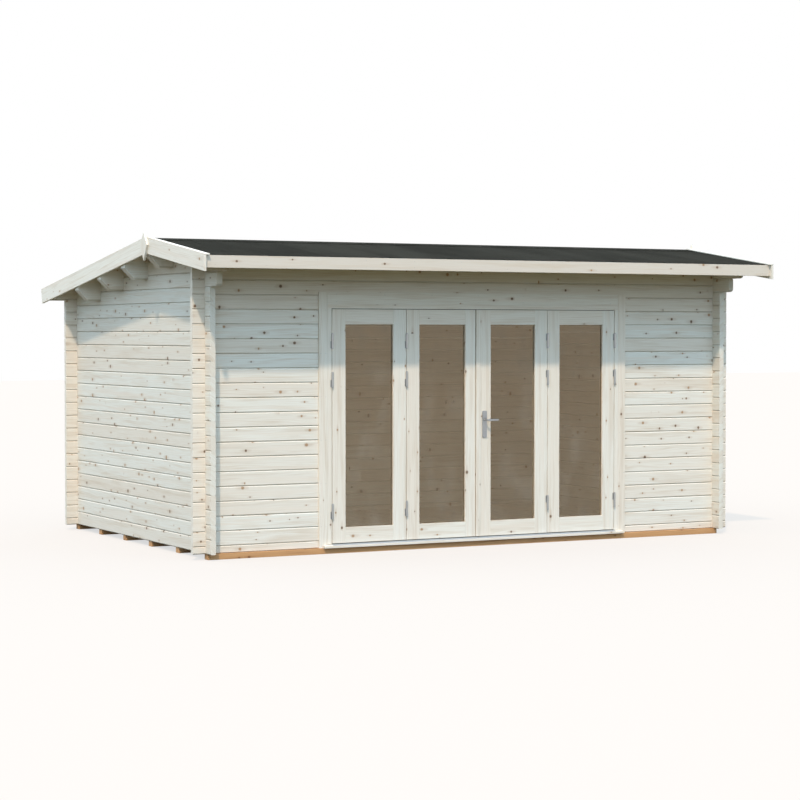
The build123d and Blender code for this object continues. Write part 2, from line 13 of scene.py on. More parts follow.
import bmesh
import bpy
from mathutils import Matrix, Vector


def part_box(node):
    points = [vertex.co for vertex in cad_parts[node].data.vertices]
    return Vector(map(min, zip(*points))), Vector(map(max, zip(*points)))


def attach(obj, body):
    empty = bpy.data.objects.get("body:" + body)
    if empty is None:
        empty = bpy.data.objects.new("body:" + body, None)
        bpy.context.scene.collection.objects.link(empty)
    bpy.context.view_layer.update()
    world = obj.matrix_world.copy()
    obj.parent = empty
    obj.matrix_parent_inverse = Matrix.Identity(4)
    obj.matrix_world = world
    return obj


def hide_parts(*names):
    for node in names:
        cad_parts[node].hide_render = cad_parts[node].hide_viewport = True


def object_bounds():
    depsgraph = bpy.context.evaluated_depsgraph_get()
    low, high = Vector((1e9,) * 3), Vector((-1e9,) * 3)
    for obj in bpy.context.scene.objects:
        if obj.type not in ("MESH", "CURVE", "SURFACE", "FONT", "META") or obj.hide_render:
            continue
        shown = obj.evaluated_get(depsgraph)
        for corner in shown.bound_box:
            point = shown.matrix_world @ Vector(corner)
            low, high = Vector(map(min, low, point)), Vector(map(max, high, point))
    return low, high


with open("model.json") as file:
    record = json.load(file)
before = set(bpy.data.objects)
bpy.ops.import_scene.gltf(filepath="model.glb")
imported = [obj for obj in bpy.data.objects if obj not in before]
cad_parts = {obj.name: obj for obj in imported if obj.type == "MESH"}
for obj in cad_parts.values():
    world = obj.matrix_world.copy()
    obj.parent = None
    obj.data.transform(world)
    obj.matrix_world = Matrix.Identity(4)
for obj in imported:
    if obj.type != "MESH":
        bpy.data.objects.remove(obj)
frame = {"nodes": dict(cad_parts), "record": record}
cad_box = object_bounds()
nodes = frame["nodes"]
box_mm = [[round(value * 1000) for value in corner] for corner in cad_box]
print("loaded", len(nodes), "pieces in the box", box_mm, "mm")

# %% [markdown]
# ## Sizes read from the pieces
#
# A finish has to know where each log starts, or the grain of one log would run on into the next. The
# numbers could be typed in again, but then they would go stale when the house changes, so they are read
# from the boxes of the pieces. Only what a box can't tell, such as the roof's pitch, is written out.

# %% Read the main sizes


def low(node):
    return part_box(node)[0]


def high(node):
    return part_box(node)[1]


SIDE_COURSES = 18
ROOF_PITCH = math.radians(8.1)
SLOPE = math.tan(ROOF_PITCH)
LOG_BASE = low("left_wall_logs").z
LOG_PITCH = (high("left_wall_logs").z - LOG_BASE) / SIDE_COURSES
WALL_RIGHT = high("right_wall_logs").x
FACE = low("left_door_frame").y
LEAF_BACK = high("left_door_frame").y
RIDGE_Y = (low("ridge_purlin").y + high("ridge_purlin").y) / 2
ROOF_LEFT = low("front_roof_boards").x
ROOF_RIGHT = high("front_roof_boards").x
BOARD_THICKNESS = 0.018
FELT_THICKNESS = 0.004
RIDGE_Z = high("front_roof_boards").z - BOARD_THICKNESS / math.cos(ROOF_PITCH)
print("log pitch", round(LOG_PITCH, 4), "ridge at y", round(RIDGE_Y, 4), "z", round(RIDGE_Z, 4))


def roof_height(y, lift=0.0):
    """Height of the roof boards' underside at y, or of a parallel layer that lies above it by lift."""
    return RIDGE_Z - abs(y - RIDGE_Y) * SLOPE + lift / math.cos(ROOF_PITCH)


# %% [markdown]
# ## The camera
#
# The camera stands where the photographer stood: a long way off to the front left, at about eye height,
# with a long lens, so that the walls hardly converge. Its place was worked out from the joints between
# the logs.

# %% Place the camera
EYE = (-8.7998, -16.6670, 1.7427)
TURN_RIGHT = math.radians(27.8653)
TILT_DOWN = math.radians(1.776)
LENS_MM = 96.889
SENSOR_MM = 36.0


def put(name, data):
    """A new object in the scene."""
    thing = bpy.data.objects.new(name, data)
    bpy.context.scene.collection.objects.link(thing)
    return thing


camera = put("portrait_camera", bpy.data.cameras.new("portrait_camera"))
camera.data.lens = LENS_MM
camera.data.sensor_width = SENSOR_MM
camera.location = EYE
camera.rotation_euler = (math.pi / 2 - TILT_DOWN, 0.0, -TURN_RIGHT)
bpy.context.scene.camera = camera
bpy.context.scene.view_settings.view_transform = "Standard"
print("camera", round((Vector(EYE) - Vector((0, FACE, 1))).length, 2), "m from the doors")

# %% [markdown]
# ## Writing nodes as sums
#
# Finishes are built from nodes, and wiring dozens of Math nodes by hand soon hides what they work out. A
# small class that wraps a socket and knows plus, minus, times and divide lets the maths be read as maths.
# Everything that isn't a sum comes from one method: the kind of node, its settings, and what goes into
# its sockets. The operators differ only in the name of the Math operation, so a table makes them.

# %% Sockets that add up


class Value:
    """A node's output that takes part in sums: each operator adds one Math node."""

    def __init__(self, graph, socket):
        self.graph = graph
        self.socket = socket

    def of(self, name):
        """Another output of the same node."""
        return Value(self.graph, self.socket.node.outputs[name])

    def __rsub__(self, other):
        return self.graph.maths("SUBTRACT", other, self)


OPERATORS = {
    "__add__": "ADD",
    "__radd__": "ADD",
    "__sub__": "SUBTRACT",
    "__mul__": "MULTIPLY",
    "__rmul__": "MULTIPLY",
    "__truediv__": "DIVIDE",
    "__pow__": "POWER",
    "__gt__": "GREATER_THAN",
    "__lt__": "LESS_THAN",
    "__abs__": "ABSOLUTE",
    "__floor__": "FLOOR",
}


def sum_with(operation):
    return lambda value, *others: value.graph.maths(operation, value, *others)


for method, operation in OPERATORS.items():
    setattr(Value, method, sum_with(operation))
print("values know", len(OPERATORS) + 1, "operators")

# %% Trees written from left to right


class Graph:
    """A node tree that is written from left to right."""

    def __init__(self, tree):
        self.tree = tree

    def node(self, kind, settings=(), sockets=(), out=0):
        """Add a node: its settings first, then its sockets' values or links. Gives one of its outputs."""
        node = self.tree.nodes.new(kind)
        for name, value in dict(settings).items():
            setattr(node, name, value)
        for name, value in dict(sockets).items():
            if isinstance(value, Value):
                self.tree.links.new(value.socket, node.inputs[name])
            else:
                node.inputs[name].default_value = value
        return Value(self, node.outputs[out]) if node.outputs else None

    def maths(self, operation, *values):
        return self.node("ShaderNodeMath", {"operation": operation}, dict(enumerate(values)))

    def smooth(self, value, start, end):
        """0 before start, 1 after end, and eased between them."""
        ends = {"Value": value, "From Min": start, "From Max": end}
        return self.node("ShaderNodeMapRange", {"interpolation_type": "SMOOTHSTEP"}, ends)

    def blend(self, share, first, second):
        """The first colour, with this share of the second."""
        return self.node("ShaderNodeMix", {"data_type": "RGBA"}, {0: share, 6: first, 7: second}, out=2)

    def mix(self, share, first, second):
        """The first shader, with this share of the second."""
        return self.node("ShaderNodeMixShader", {}, {0: share, 1: first, 2: second})

    def parts(self, vector):
        """The x of a vector, whose y and z are other outputs of the same node."""
        return self.node("ShaderNodeSeparateXYZ", {}, {0: vector})

    def place(self):
        """Where a point lies on its piece, in metres: x, y and z."""
        x = self.parts(self.node("ShaderNodeTexCoord", out="Object"))
        return x, x.of("Y"), x.of("Z")

    def flat(self, across, up):
        return self.node("ShaderNodeCombineXYZ", {}, {0: across, 1: up})

    def noise(self, across, up, detail=2.0):
        """Cloudy values round a half, over two coordinates in cloud sizes."""
        spot = {"Vector": self.flat(across, up), "Scale": 1.0, "Detail": detail}
        return self.node("ShaderNodeTexNoise", {"noise_dimensions": "2D"}, spot)

    def luck(self, number):
        """A random value between 0 and 1 that is the same wherever the number is the same."""
        return self.node("ShaderNodeTexWhiteNoise", {"noise_dimensions": "1D"}, {"W": number})

    def bump(self, height, depth):
        return self.node("ShaderNodeBump", {}, {"Height": height, "Distance": depth, "Strength": 1.0})


def new_finish(name):
    """An empty material and the graph to write it in."""
    material = bpy.data.materials.new(name)
    material.use_nodes = True
    material.node_tree.nodes.clear()
    return material, Graph(material.node_tree)


def show(graph, shader):
    graph.node("ShaderNodeOutputMaterial", {}, {"Surface": shader})


def show_surface(graph, sockets):
    show(graph, graph.node("ShaderNodeBsdfPrincipled", {}, sockets))


def tone(red, green, blue):
    return (red, green, blue, 1.0)


# %% [markdown]
# ## Daylight and a white floor
#
# The house stands in sun from the front left, high enough for the eave to shade the upper third of the
# front. A lamp behind a big cloth would be softer, but the crisp line of that shadow is half of the
# picture, so one sun lamp lights it, with a blue sky to fill the shade. Low down, where trees and hedges
# would stand, the sky is darker and greener, most of all on the right and least in front. The backdrop
# only looks white to the camera and in reflections; as a light source the floor stays a dark olive, like
# a lawn.

# %% Sun
SUN_TRAVEL = Vector((0.474, 0.62, -1.0))
SUN_STRENGTH = 2.65
SUN_TONE = (1.0, 0.83, 0.67)
SUN_ANGLE = math.radians(2.2)

sun = put("sun", bpy.data.lights.new("sun", "SUN"))
sun.data.energy = SUN_STRENGTH
sun.data.color = SUN_TONE
sun.data.angle = SUN_ANGLE
sun.rotation_mode = "QUATERNION"
sun.rotation_quaternion = SUN_TRAVEL.to_track_quat("-Z", "Y")
print("sun", round(math.degrees(math.asin(-SUN_TRAVEL.normalized().z)), 1), "degrees high")

# %% Sky
SKY_TONE = tone(1.17, 1.51, 1.85)
HEDGE_TONE = tone(0.29, 0.32, 0.24)
HEDGE_TOP = 0.22
TREES_ON_THE_RIGHT = 0.22
OPEN_IN_FRONT = 0.09
WHITE = tone(1.0, 1.0, 1.0)


def seen_share(graph):
    """1 for rays from the camera and for rays in mirrors and glass, 0 for rays that gather light."""
    camera_ray = graph.node("ShaderNodeLightPath", out="Is Camera Ray")
    seen = camera_ray + camera_ray.of("Is Glossy Ray") + camera_ray.of("Is Transmission Ray")
    return graph.maths("MINIMUM", seen, 1.0)


world = bpy.data.worlds.new("sky")
world.use_nodes = True
world.node_tree.nodes.clear()
sky = Graph(world.node_tree)
right = sky.parts(sky.node("ShaderNodeTexCoord", out="Generated"))
trees = sky.maths("MAXIMUM", right, 0.0) * TREES_ON_THE_RIGHT
clearing = sky.maths("MAXIMUM", right.of("Y") * -1.0, 0.0) * OPEN_IN_FRONT
climb = right.of("Z") - trees + clearing
dome = sky.blend(sky.smooth(climb, 0.0, HEDGE_TOP), HEDGE_TONE, SKY_TONE)
fill = sky.node("ShaderNodeBackground", {}, {"Color": dome, "Strength": 1.0})
white = sky.node("ShaderNodeBackground", {}, {"Color": WHITE, "Strength": 1.0})
sky.node("ShaderNodeOutputWorld", {}, {"Surface": sky.mix(seen_share(sky), fill, white)})
bpy.context.scene.world = world
print("sky in", len(world.node_tree.nodes), "nodes")

# %% Floor
FLOOR_HALF = 60.0
FLOOR_OLIVE = tone(0.074, 0.064, 0.031)
FLOOR_PALE = tone(0.56, 0.46, 0.38)
GLOW_SHARE = 0.67

floor_finish, g = new_finish("studio_floor")
bounce = g.node("ShaderNodeBsdfDiffuse", {}, {"Color": FLOOR_OLIVE})
pale = g.node("ShaderNodeBsdfDiffuse", {}, {"Color": FLOOR_PALE})
glow = g.node("ShaderNodeEmission", {}, {"Color": WHITE, "Strength": 1.0})
show(g, g.mix(seen_share(g), bounce, g.mix(GLOW_SHARE, pale, glow)))

corners = [(sx * FLOOR_HALF, sy * FLOOR_HALF, 0.0) for sx, sy in ((-1, -1), (1, -1), (1, 1), (-1, 1))]
floor_mesh = bpy.data.meshes.new("studio_floor")
floor_mesh.from_pydata(corners, [], [(0, 1, 2, 3)])
floor_mesh.materials.append(floor_finish)
studio_floor = put("studio_floor", floor_mesh)
print("floor", 2 * FLOOR_HALF, "m wide")

# %% [markdown]
# ## Bare spruce
#
# Nearly everything here is planed spruce without paint: cream white, with faint tan grain along the
# length, a few warmer streaks, and knots, most of them small and reddish, some dead and nearly black. A
# picture of wood would repeat, and would have to be laid on every log by hand. Worked out from the place
# on the piece, each log gets grain of its own that runs along it, and the knots go right through to the
# inside. Beside a knot the grain swerves round it, which leaves a warm flame along the wood.
#
# A lay says how the grain lies: how far along the wood a point is, how far across it, and which log it is
# on. On boards the two directions across are added up, so that grain shows on the faces and on the edges
# alike. On logs, whose sawn ends show, the way across is the distance from the heart of the tree, outside
# the log: it draws lines on the faces and arcs on the ends.

# %% Grain
WANDERS_ACROSS = 9.0
BANDS_ACROSS = 26.0
FIBRES_ACROSS = 190.0
RINGS_ACROSS = 480.0
BAND_SHARE = 0.34
FIBRE_SHARE = 0.80
RING_SHARE = 0.16


def grain(g, run, side):
    """Wide bands and fine fibres along the wood, and how tan they and the rings make it."""
    wander = g.noise(run * 0.9, side * WANDERS_ACROSS) - 0.5
    broad = g.noise(run * 1.1, side * BANDS_ACROSS + wander * 1.6, 3.0)
    fine = g.noise(run * 4.0, side * FIBRES_ACROSS + wander * 8.0)
    rings = g.maths("SINE", side * RINGS_ACROSS + wander * 34.0) * 0.5 + 0.5
    tan_share = g.smooth(broad, 0.46, 0.72) * BAND_SHARE + (fine - 0.5) * FIBRE_SHARE + rings * RING_SHARE
    return broad, fine, g.maths("MAXIMUM", tan_share, 0.0)


print("fibres of about", round(1000 / FIBRES_ACROSS, 1), "mm")

# %% Knots
KNOT_CELL = 0.135
KNOT_CHANCE = 0.92
KNOT_STRETCH = 0.86
FLAME_STRETCH = 0.26
KNOT_LEAST = 0.030
KNOT_RANGE = 0.060
DEAD_ABOVE = 0.66


def knots(g, run, side, fine, chance, faces):
    """Masks of the knots on the faces: their hearts, rims and flames, and which of them are dead."""
    wobble = (fine - 0.5) * 0.05
    cells_along = run * KNOT_STRETCH / KNOT_CELL
    cells_across = side / KNOT_CELL
    spot = {"Vector": g.flat(cells_along, cells_across), "Scale": 1.0}
    distance = g.node("ShaderNodeTexVoronoi", {"voronoi_dimensions": "2D"}, spot)
    middle = g.parts(distance.of("Position"))
    ahead = (cells_along - middle) * FLAME_STRETCH
    beside = cells_across - middle.of("Y")
    flame_away = (ahead * ahead + beside * beside) ** 0.5 + wobble * 1.6
    away = distance + wobble
    luck = g.node("ShaderNodeSeparateColor", {}, {0: distance.of("Color")})
    there = (luck < chance) * faces
    size = luck.of("Blue") ** 2.0 * KNOT_RANGE + KNOT_LEAST

    def within(far, full, gone):
        return (1.0 - g.smooth(far, size * full, size * gone)) * there

    heart, rim, flame = within(away, 0.7, 1.0), within(away, 0.8, 1.6), within(flame_away, 0.5, 1.7)
    return heart, rim, flame, luck.of("Green") > DEAD_ABOVE


print("room for a knot every", round(KNOT_CELL * 1000), "mm")

# %% Spruce from a lay
SPRUCE = {
    "pale": tone(0.79, 0.775, 0.705),
    "blush": tone(0.77, 0.695, 0.595),
    "grain": tone(0.60, 0.49, 0.37),
    "rim": tone(0.40, 0.245, 0.135),
    "heart": tone(0.075, 0.045, 0.030),
    # painted shade for the downward faces of logs and purlins
    "dust_and_painted_shade": tone(0.20, 0.165, 0.12),
}
SHIFT_ALONG = 37.0
SHIFT_ACROSS = 11.0
STREAKS_ACROSS = 15.0
PATCHES_ACROSS = 24.0
# The last share sets how dark the painted shade on the downward faces of logs is.
SHARES = {"luck": 0.9, "toast": 0.6, "streak": 0.22, "patch": 0.65, "flame": 0.24, "rim": 0.34, "dead": 0.8,
          "heart": 0.9, "dust_and_painted_shade": 0.32}
END_GRAIN = 0.7
GRAIN_DEPTH = 0.0006
DULL = 0.2


def spruce(name, lay, tones=SPRUCE, knot_chance=KNOT_CHANCE, toasted=None, log_axis=None):
    """Planed spruce whose grain follows a lay. Toasted is a mask of where the wood has gone warmer.

    A log has an axis: its sawn ends show no knots, and its downward faces are darkened with painted shade.
    """
    finish, g = new_finish(name)
    along, across, piece = lay(g)
    luck = g.luck(piece)
    run = along + luck * SHIFT_ALONG
    side = across + luck * SHIFT_ACROSS
    faces = 1.0
    if log_axis:
        outward = g.parts(g.node("ShaderNodeTexCoord", out="Normal"))
        faces = abs(outward.of(log_axis)) < END_GRAIN
    broad, fine, tan_share = grain(g, run, side)
    crowd = g.smooth(g.noise(run * 2.3, luck * 90.0), 0.26, 0.54)
    heart, rim, flame, dead = knots(g, run, side, fine, crowd * knot_chance, faces)
    streak = g.smooth(g.noise(run * 1.7 + 4.0, side * STREAKS_ACROSS), 0.62, 0.74)
    patch = g.smooth(g.noise(run * 0.8 + 9.0, side * PATCHES_ACROSS, 3.0), 0.52, 0.70)

    colour = g.blend(g.luck(piece + 0.61) * SHARES["luck"], tones["pale"], tones["blush"])
    if toasted:
        colour = g.blend(toasted(g) * SHARES["toast"], colour, tones["blush"])
    colour = g.blend(tan_share, colour, tones["grain"])
    colour = g.blend(streak * SHARES["streak"], colour, tones["grain"])
    colour = g.blend(patch * SHARES["patch"], colour, tones["blush"])
    colour = g.blend(flame * SHARES["flame"], colour, tones["rim"])
    colour = g.blend(rim * SHARES["rim"], colour, tones["rim"])
    knot = g.blend(dead * SHARES["dead"], tones["rim"], tones["heart"])
    colour = g.blend(heart * SHARES["heart"], colour, knot)
    if log_axis:
        # Painted shade: faces that look down are darkened, so that the joints between the logs read as dark
        # lines.
        below = g.smooth(outward.of("Z") * -1.0, 0.3, 0.6)
        colour = g.blend(below * SHARES["dust_and_painted_shade"], colour, tones["dust_and_painted_shade"])

    sockets = {
        "Base Color": colour,
        "Roughness": 0.56 + fine * 0.16,
        "Normal": g.bump(fine * 0.4 + broad * 0.4 + heart * 0.5, GRAIN_DEPTH),
        "Specular IOR Level": DULL,
    }
    show_surface(g, sockets)
    return finish


def dress(finish, *names):
    """Give CAD pieces a finish."""
    for name in names:
        mesh = nodes[name].data
        mesh.materials.clear()
        mesh.materials.append(finish)


print("spruce has", len(SPRUCE), "tones")

# %% [markdown]
# ## Log walls
#
# The front and back logs run along the house and start with a half log; the side logs run from front to
# back and start with a whole one. So the number of a log follows from the height, half a pitch apart on
# the two kinds of wall. The logs' ends, past the corners, have taken more sun and are a little warmer.

# %% Finish the logs
OPPOSITE = 40.0
HEART_BEHIND = 0.05
HEART_BELOW = 0.03
PURLIN_ROOM = 0.3
WALL_FRONT = low("front_wall_logs_left").y
WALL_BACK = high("back_wall_logs").y


def from_the_heart(depth, rise):
    """Distance from the heart of the tree, for a point so deep in the log and so far up it."""
    return ((depth + HEART_BEHIND) ** 2.0 + (rise + HEART_BELOW) ** 2.0) ** 0.5


def lay_of_long_logs(g):
    x, y, z = g.place()
    courses = (z - LOG_BASE) / LOG_PITCH + 0.5
    course = math.floor(courses)
    depth = g.maths("MINIMUM", abs(y - WALL_FRONT), abs(y - WALL_BACK))
    return x, from_the_heart(depth, (courses - course) * LOG_PITCH), course + (y > 0.0) * OPPOSITE


def lay_of_side_logs(g):
    x, y, z = g.place()
    courses = (z - LOG_BASE) / LOG_PITCH
    course = math.floor(courses)
    across = from_the_heart(abs(WALL_RIGHT - abs(x)), (courses - course) * LOG_PITCH)
    return y, across, course + (x > 0.0) * OPPOSITE + 2.0 * OPPOSITE


def past_the_corner(g):
    return abs(g.place()[0]) > WALL_RIGHT


def lay_of_purlins(g):
    x, y, z = g.place()
    return x, z + y, math.floor((y - RIDGE_Y) / PURLIN_ROOM + 0.5)


long_logs = spruce("spruce_long_logs", lay_of_long_logs, toasted=past_the_corner, log_axis="X")
# Painted shade: the side logs get darker tones than the front and back logs, for dimmer light on the side
# walls.
SIDE_LOGS_PAINTED_SHADE_TONES = SPRUCE | {"pale": tone(0.755, 0.735, 0.66), "blush": tone(0.735, 0.66, 0.56)}
side_logs = spruce("spruce_side_logs", lay_of_side_logs, SIDE_LOGS_PAINTED_SHADE_TONES, log_axis="Y")
dress(long_logs, "front_wall_logs_left", "front_wall_logs_right", "front_wall_head_logs", "back_wall_logs")
dress(side_logs, "left_wall_logs", "right_wall_logs", "left_gable_logs", "right_gable_logs")
dress(spruce("spruce_purlins", lay_of_purlins, log_axis="X"), "ridge_purlin", "back_purlins")
print("logs finished in", len(long_logs.node_tree.nodes), "nodes")

# %% [markdown]
# ## Trim and joinery
#
# Boards lie every way: fascias and sill along the house, jambs upright, barge boards down the slope. On a
# sash the stiles are upright and the rails lie across, in one piece of the model, so its lay asks whether
# a point is beside the pane or above and below it. One finish could serve all, but grain that runs across
# a stile is the first thing a joiner would notice. The number that ends a lay only has to differ from
# board to board.

# %% Finish the boards
CASING_WIDTH = 0.073
LEAVES = {
    "left_side_leaf": "house",
    "left_door": "left_door",
    "right_door": "right_door",
    "right_side_leaf": "house",
}
PANE_BITE = 0.0117
RAILS_APART = 1.0


def pick(mask, first, second):
    """The first value where the mask is 0, the second where it is 1."""
    return first + (second - first) * mask


def lay_lengthways(g):
    x, y, z = g.place()
    return x, z + y, (y > 0.0) + 3.0


def lay_upright(g):
    x, y, z = g.place()
    return z, x + y, (x > 0.0) + 7.0


def lay_down_the_slope(g):
    x, y, z = g.place()
    down = abs(y - RIDGE_Y) * SLOPE
    return y, z + down + x, (y > RIDGE_Y) + (x > 0.0) * 2.0 + 11.0


def lay_round_an_opening(middle, half, number):
    """Upright wood beside an opening, and wood that lies across above and below it."""

    def lay(g):
        x, y, z = g.place()
        lies = abs(x - middle) < half
        along = pick(lies, z, x)
        across = pick(lies, x, z) + y
        return along, across, number + pick(lies, x > middle, (z > RAILS_APART) + 2.0)

    return lay


# Painted shade: the fascias get darker tones than the other boards, as if less light fell on them.
FASCIA_PAINTED_SHADE_TONES = SPRUCE | {"pale": tone(0.69, 0.645, 0.56), "blush": tone(0.67, 0.595, 0.51)}
PLANED = SPRUCE | {"pale": tone(0.805, 0.775, 0.695), "blush": tone(0.79, 0.715, 0.615)}
CLEAR_WOOD = 0.34
TRIM = {"tones": PLANED, "knot_chance": CLEAR_WOOD}
lengthways = spruce("spruce_lengthways", lay_lengthways, **TRIM)
upright = spruce("spruce_upright", lay_upright, **TRIM)
verge = spruce("spruce_verge", lay_down_the_slope, **TRIM)
dress(lengthways, "door_head", "door_sill")
dress(spruce("spruce_fascias", lay_lengthways, FASCIA_PAINTED_SHADE_TONES, CLEAR_WOOD), "front_fascia", "back_fascia")
dress(upright, "door_jambs", "meeting_strip", "left_finial", "right_finial")
dress(verge, "left_barge_boards", "right_barge_boards", "left_cover_strips", "right_cover_strips")
casing_inner = high("outside_casing").x - CASING_WIDTH
for casing, inner, number in (("outside", casing_inner, 20.0), ("inside", high("door_jambs").x, 30.0)):
    lay = lay_round_an_opening(0.0, inner, number)
    dress(spruce(f"spruce_{casing}_casing", lay, **TRIM), casing + "_casing")
for number, leaf in enumerate(LEAVES):
    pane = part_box(leaf + "_glass")
    middle = (pane[0].x + pane[1].x) / 2
    half = (pane[1].x - pane[0].x) / 2 - PANE_BITE
    lay = lay_round_an_opening(middle, half, 50.0 + 10.0 * number)
    dress(spruce("spruce_" + leaf, lay, **TRIM), leaf + "_frame")
print("sashes finished:", ", ".join(LEAVES))

# %% [markdown]
# ## Bearers, boards and felt
#
# The ground bearers are sawn and soaked in a brown preservative, so they use the same lay of grain with
# other tones. Roof and floor boards are plain spruce, numbered by board. The felt is bitumen with crushed
# slate on it: nearly black, a little green, with fine grit, cloudy from strip to strip and streaked down
# the slope.

# %% Finish the bearers, the boards and the felt
SOAKED = {
    "pale": tone(0.61, 0.345, 0.165),
    "blush": tone(0.53, 0.285, 0.125),
    "grain": tone(0.27, 0.115, 0.042),
    "rim": tone(0.20, 0.08, 0.03),
    "heart": tone(0.06, 0.028, 0.014),
}
BITUMEN = tone(0.0105, 0.0115, 0.0085)
SLATE = tone(0.032, 0.0325, 0.0255)
GRAINS = 420.0
GRIT_DEPTH = 0.0009
CLOUD_SHARE = 0.4
STRIP_SHARE = 0.22
WASH_SHARE = 0.5
GRIT_SHARE = 0.9
BEARER_ROOM = 0.3
ROOF_BOARDS = 54
FLOOR_BOARDS = 44
FELT_STRIPS = 10
FELT_LAP = 0.06
ROOF_BOARD = (ROOF_RIGHT - ROOF_LEFT) / ROOF_BOARDS
FLOOR_LEFT = low("floor").x
FLOOR_BOARD = (high("floor").x - FLOOR_LEFT) / FLOOR_BOARDS
FELT_STRIP = (ROOF_RIGHT - ROOF_LEFT - FELT_LAP) / FELT_STRIPS


def lay_of_bearers(g):
    x, y, z = g.place()
    return x, z + y, math.floor(y / BEARER_ROOM)


def lay_of_boards(start, width, number):
    def lay(g):
        x, y, z = g.place()
        return y, x + z, math.floor((x - start) / width) + (y > RIDGE_Y) * 100.0 + number

    return lay


def slate_felt():
    finish, g = new_finish("slate_felt")
    x, y = g.place()[:2]
    strip = g.luck(math.floor((x - ROOF_LEFT) / FELT_STRIP) + (y > RIDGE_Y) * 20.0)
    cloud = g.noise(x * 1.9 + strip * 9.0, y * 1.1, 3.0)
    wash = g.noise(x * 26.0, y * 1.6)
    grit = g.noise(x * GRAINS, y * GRAINS)
    light = g.smooth(cloud, 0.3, 0.75) * CLOUD_SHARE + strip * STRIP_SHARE
    light = light + (wash - 0.5) * WASH_SHARE + (grit - 0.5) * GRIT_SHARE
    sockets = {
        "Base Color": g.blend(g.maths("MAXIMUM", light, 0.0), BITUMEN, SLATE),
        "Roughness": 0.82 + grit * 0.12,
        "Normal": g.bump(grit, GRIT_DEPTH),
        "Specular IOR Level": 0.06,
    }
    show_surface(g, sockets)
    return finish


bearer_finish = spruce("soaked_bearers", lay_of_bearers, SOAKED)
roof_board_finish = spruce("spruce_roof_boards", lay_of_boards(ROOF_LEFT, ROOF_BOARD, 200.0))
# Painted light: the floor boards get lighter tones than the other spruce, to brighten the room seen through
# the glass.
FLOOR_PAINTED_LIGHT_TONES = SPRUCE | {"pale": tone(0.90, 0.86, 0.77), "blush": tone(0.88, 0.80, 0.69)}
lay_of_floor = lay_of_boards(FLOOR_LEFT, FLOOR_BOARD, 400.0)
floor_board_finish = spruce("spruce_floor_boards", lay_of_floor, FLOOR_PAINTED_LIGHT_TONES)
felt_finish = slate_felt()
dress(bearer_finish, "ground_bearers")
dress(roof_board_finish, "front_roof_boards", "back_roof_boards")
dress(floor_board_finish, "floor")
dress(felt_finish, "front_roof_felt", "back_roof_felt")
board_widths = [round(width * 1000, 1) for width in (ROOF_BOARD, FLOOR_BOARD)]
print("boards on roof and floor are", board_widths, "mm wide")

# %% [markdown]
# ## Glass and metal
#
# The panes are thin clear glass. A solid glass shader would bend the light and keep the sun out of the
# room, so a see-through shader is mixed with a mirror one, more mirror at a flat angle, plus a breath of
# dust. Hinges are zinc-plated steel, the handle satin aluminium and the threshold mill-finish aluminium:
# metals whose gloss is broken up by fine drawn lines.

# %% Finish the panes and the metal
GLASS_TINT = tone(0.94, 0.91, 0.85)
# Painted reflection: the mirror part of the panes is tinted with the warm tone of a garden that is not in the
# scene.
PAINTED_GARDEN_REFLECTION = tone(0.92, 0.74, 0.54)
HEAD_ON_MIRROR = 0.092
DUST_TONE = tone(0.62, 0.60, 0.56)
DUST_FILM = 0.012
DUST_CLOUDS = 0.05
LINES_ACROSS = 900.0
LINE_DEPTH = 0.0001


def clear_glass():
    finish, g = new_finish("clear_glass")
    x, _, z = g.place()
    clear = g.node("ShaderNodeBsdfTransparent", {}, {"Color": GLASS_TINT})
    mirror = g.node("ShaderNodeBsdfGlossy", {}, {"Color": PAINTED_GARDEN_REFLECTION, "Roughness": 0.02})
    dust_and_painted_shade = g.node("ShaderNodeBsdfDiffuse", {}, {"Color": DUST_TONE})
    glance = g.node("ShaderNodeLayerWeight", {}, {"Blend": 0.5}, out="Facing")
    share = glance ** 5.0 * (1.0 - HEAD_ON_MIRROR) + HEAD_ON_MIRROR
    pane = g.mix(share, clear, mirror)
    dusty = g.smooth(g.noise(x * 5.0, z * 3.0, 4.0), 0.42, 0.85) * DUST_CLOUDS + DUST_FILM
    show(g, g.mix(dusty, pane, dust_and_painted_shade))
    return finish


def drawn_metal(name, colour, shadow, roughness, along, metallic=1.0):
    """Metal with fine lines along one axis, and a little unevenness in tone and gloss."""
    finish, g = new_finish(name)
    place = dict(zip("xyz", g.place()))
    run = place.pop(along)
    side = sum(place.values())
    lines = g.noise(run * 12.0, side * LINES_ACROSS)
    cloud = g.noise(run * 30.0, side * 40.0)
    sockets = {
        "Base Color": g.blend(lines * 0.35 + cloud * 0.3, colour, shadow),
        "Metallic": metallic,
        "Roughness": roughness + (lines - 0.5) * 0.16 + (cloud - 0.5) * 0.08,
        "Normal": g.bump(lines, LINE_DEPTH),
    }
    show_surface(g, sockets)
    return finish


glass_finish = clear_glass()
hinge_steel = drawn_metal("zinc_plated_steel", tone(0.47, 0.49, 0.50), tone(0.33, 0.345, 0.36), 0.42, "z")
satin = drawn_metal("satin_aluminium", tone(0.40, 0.42, 0.44), tone(0.29, 0.305, 0.32), 0.36, "z")
mill = drawn_metal("mill_aluminium", tone(0.50, 0.54, 0.57), tone(0.39, 0.425, 0.45), 0.55, "x", 0.35)
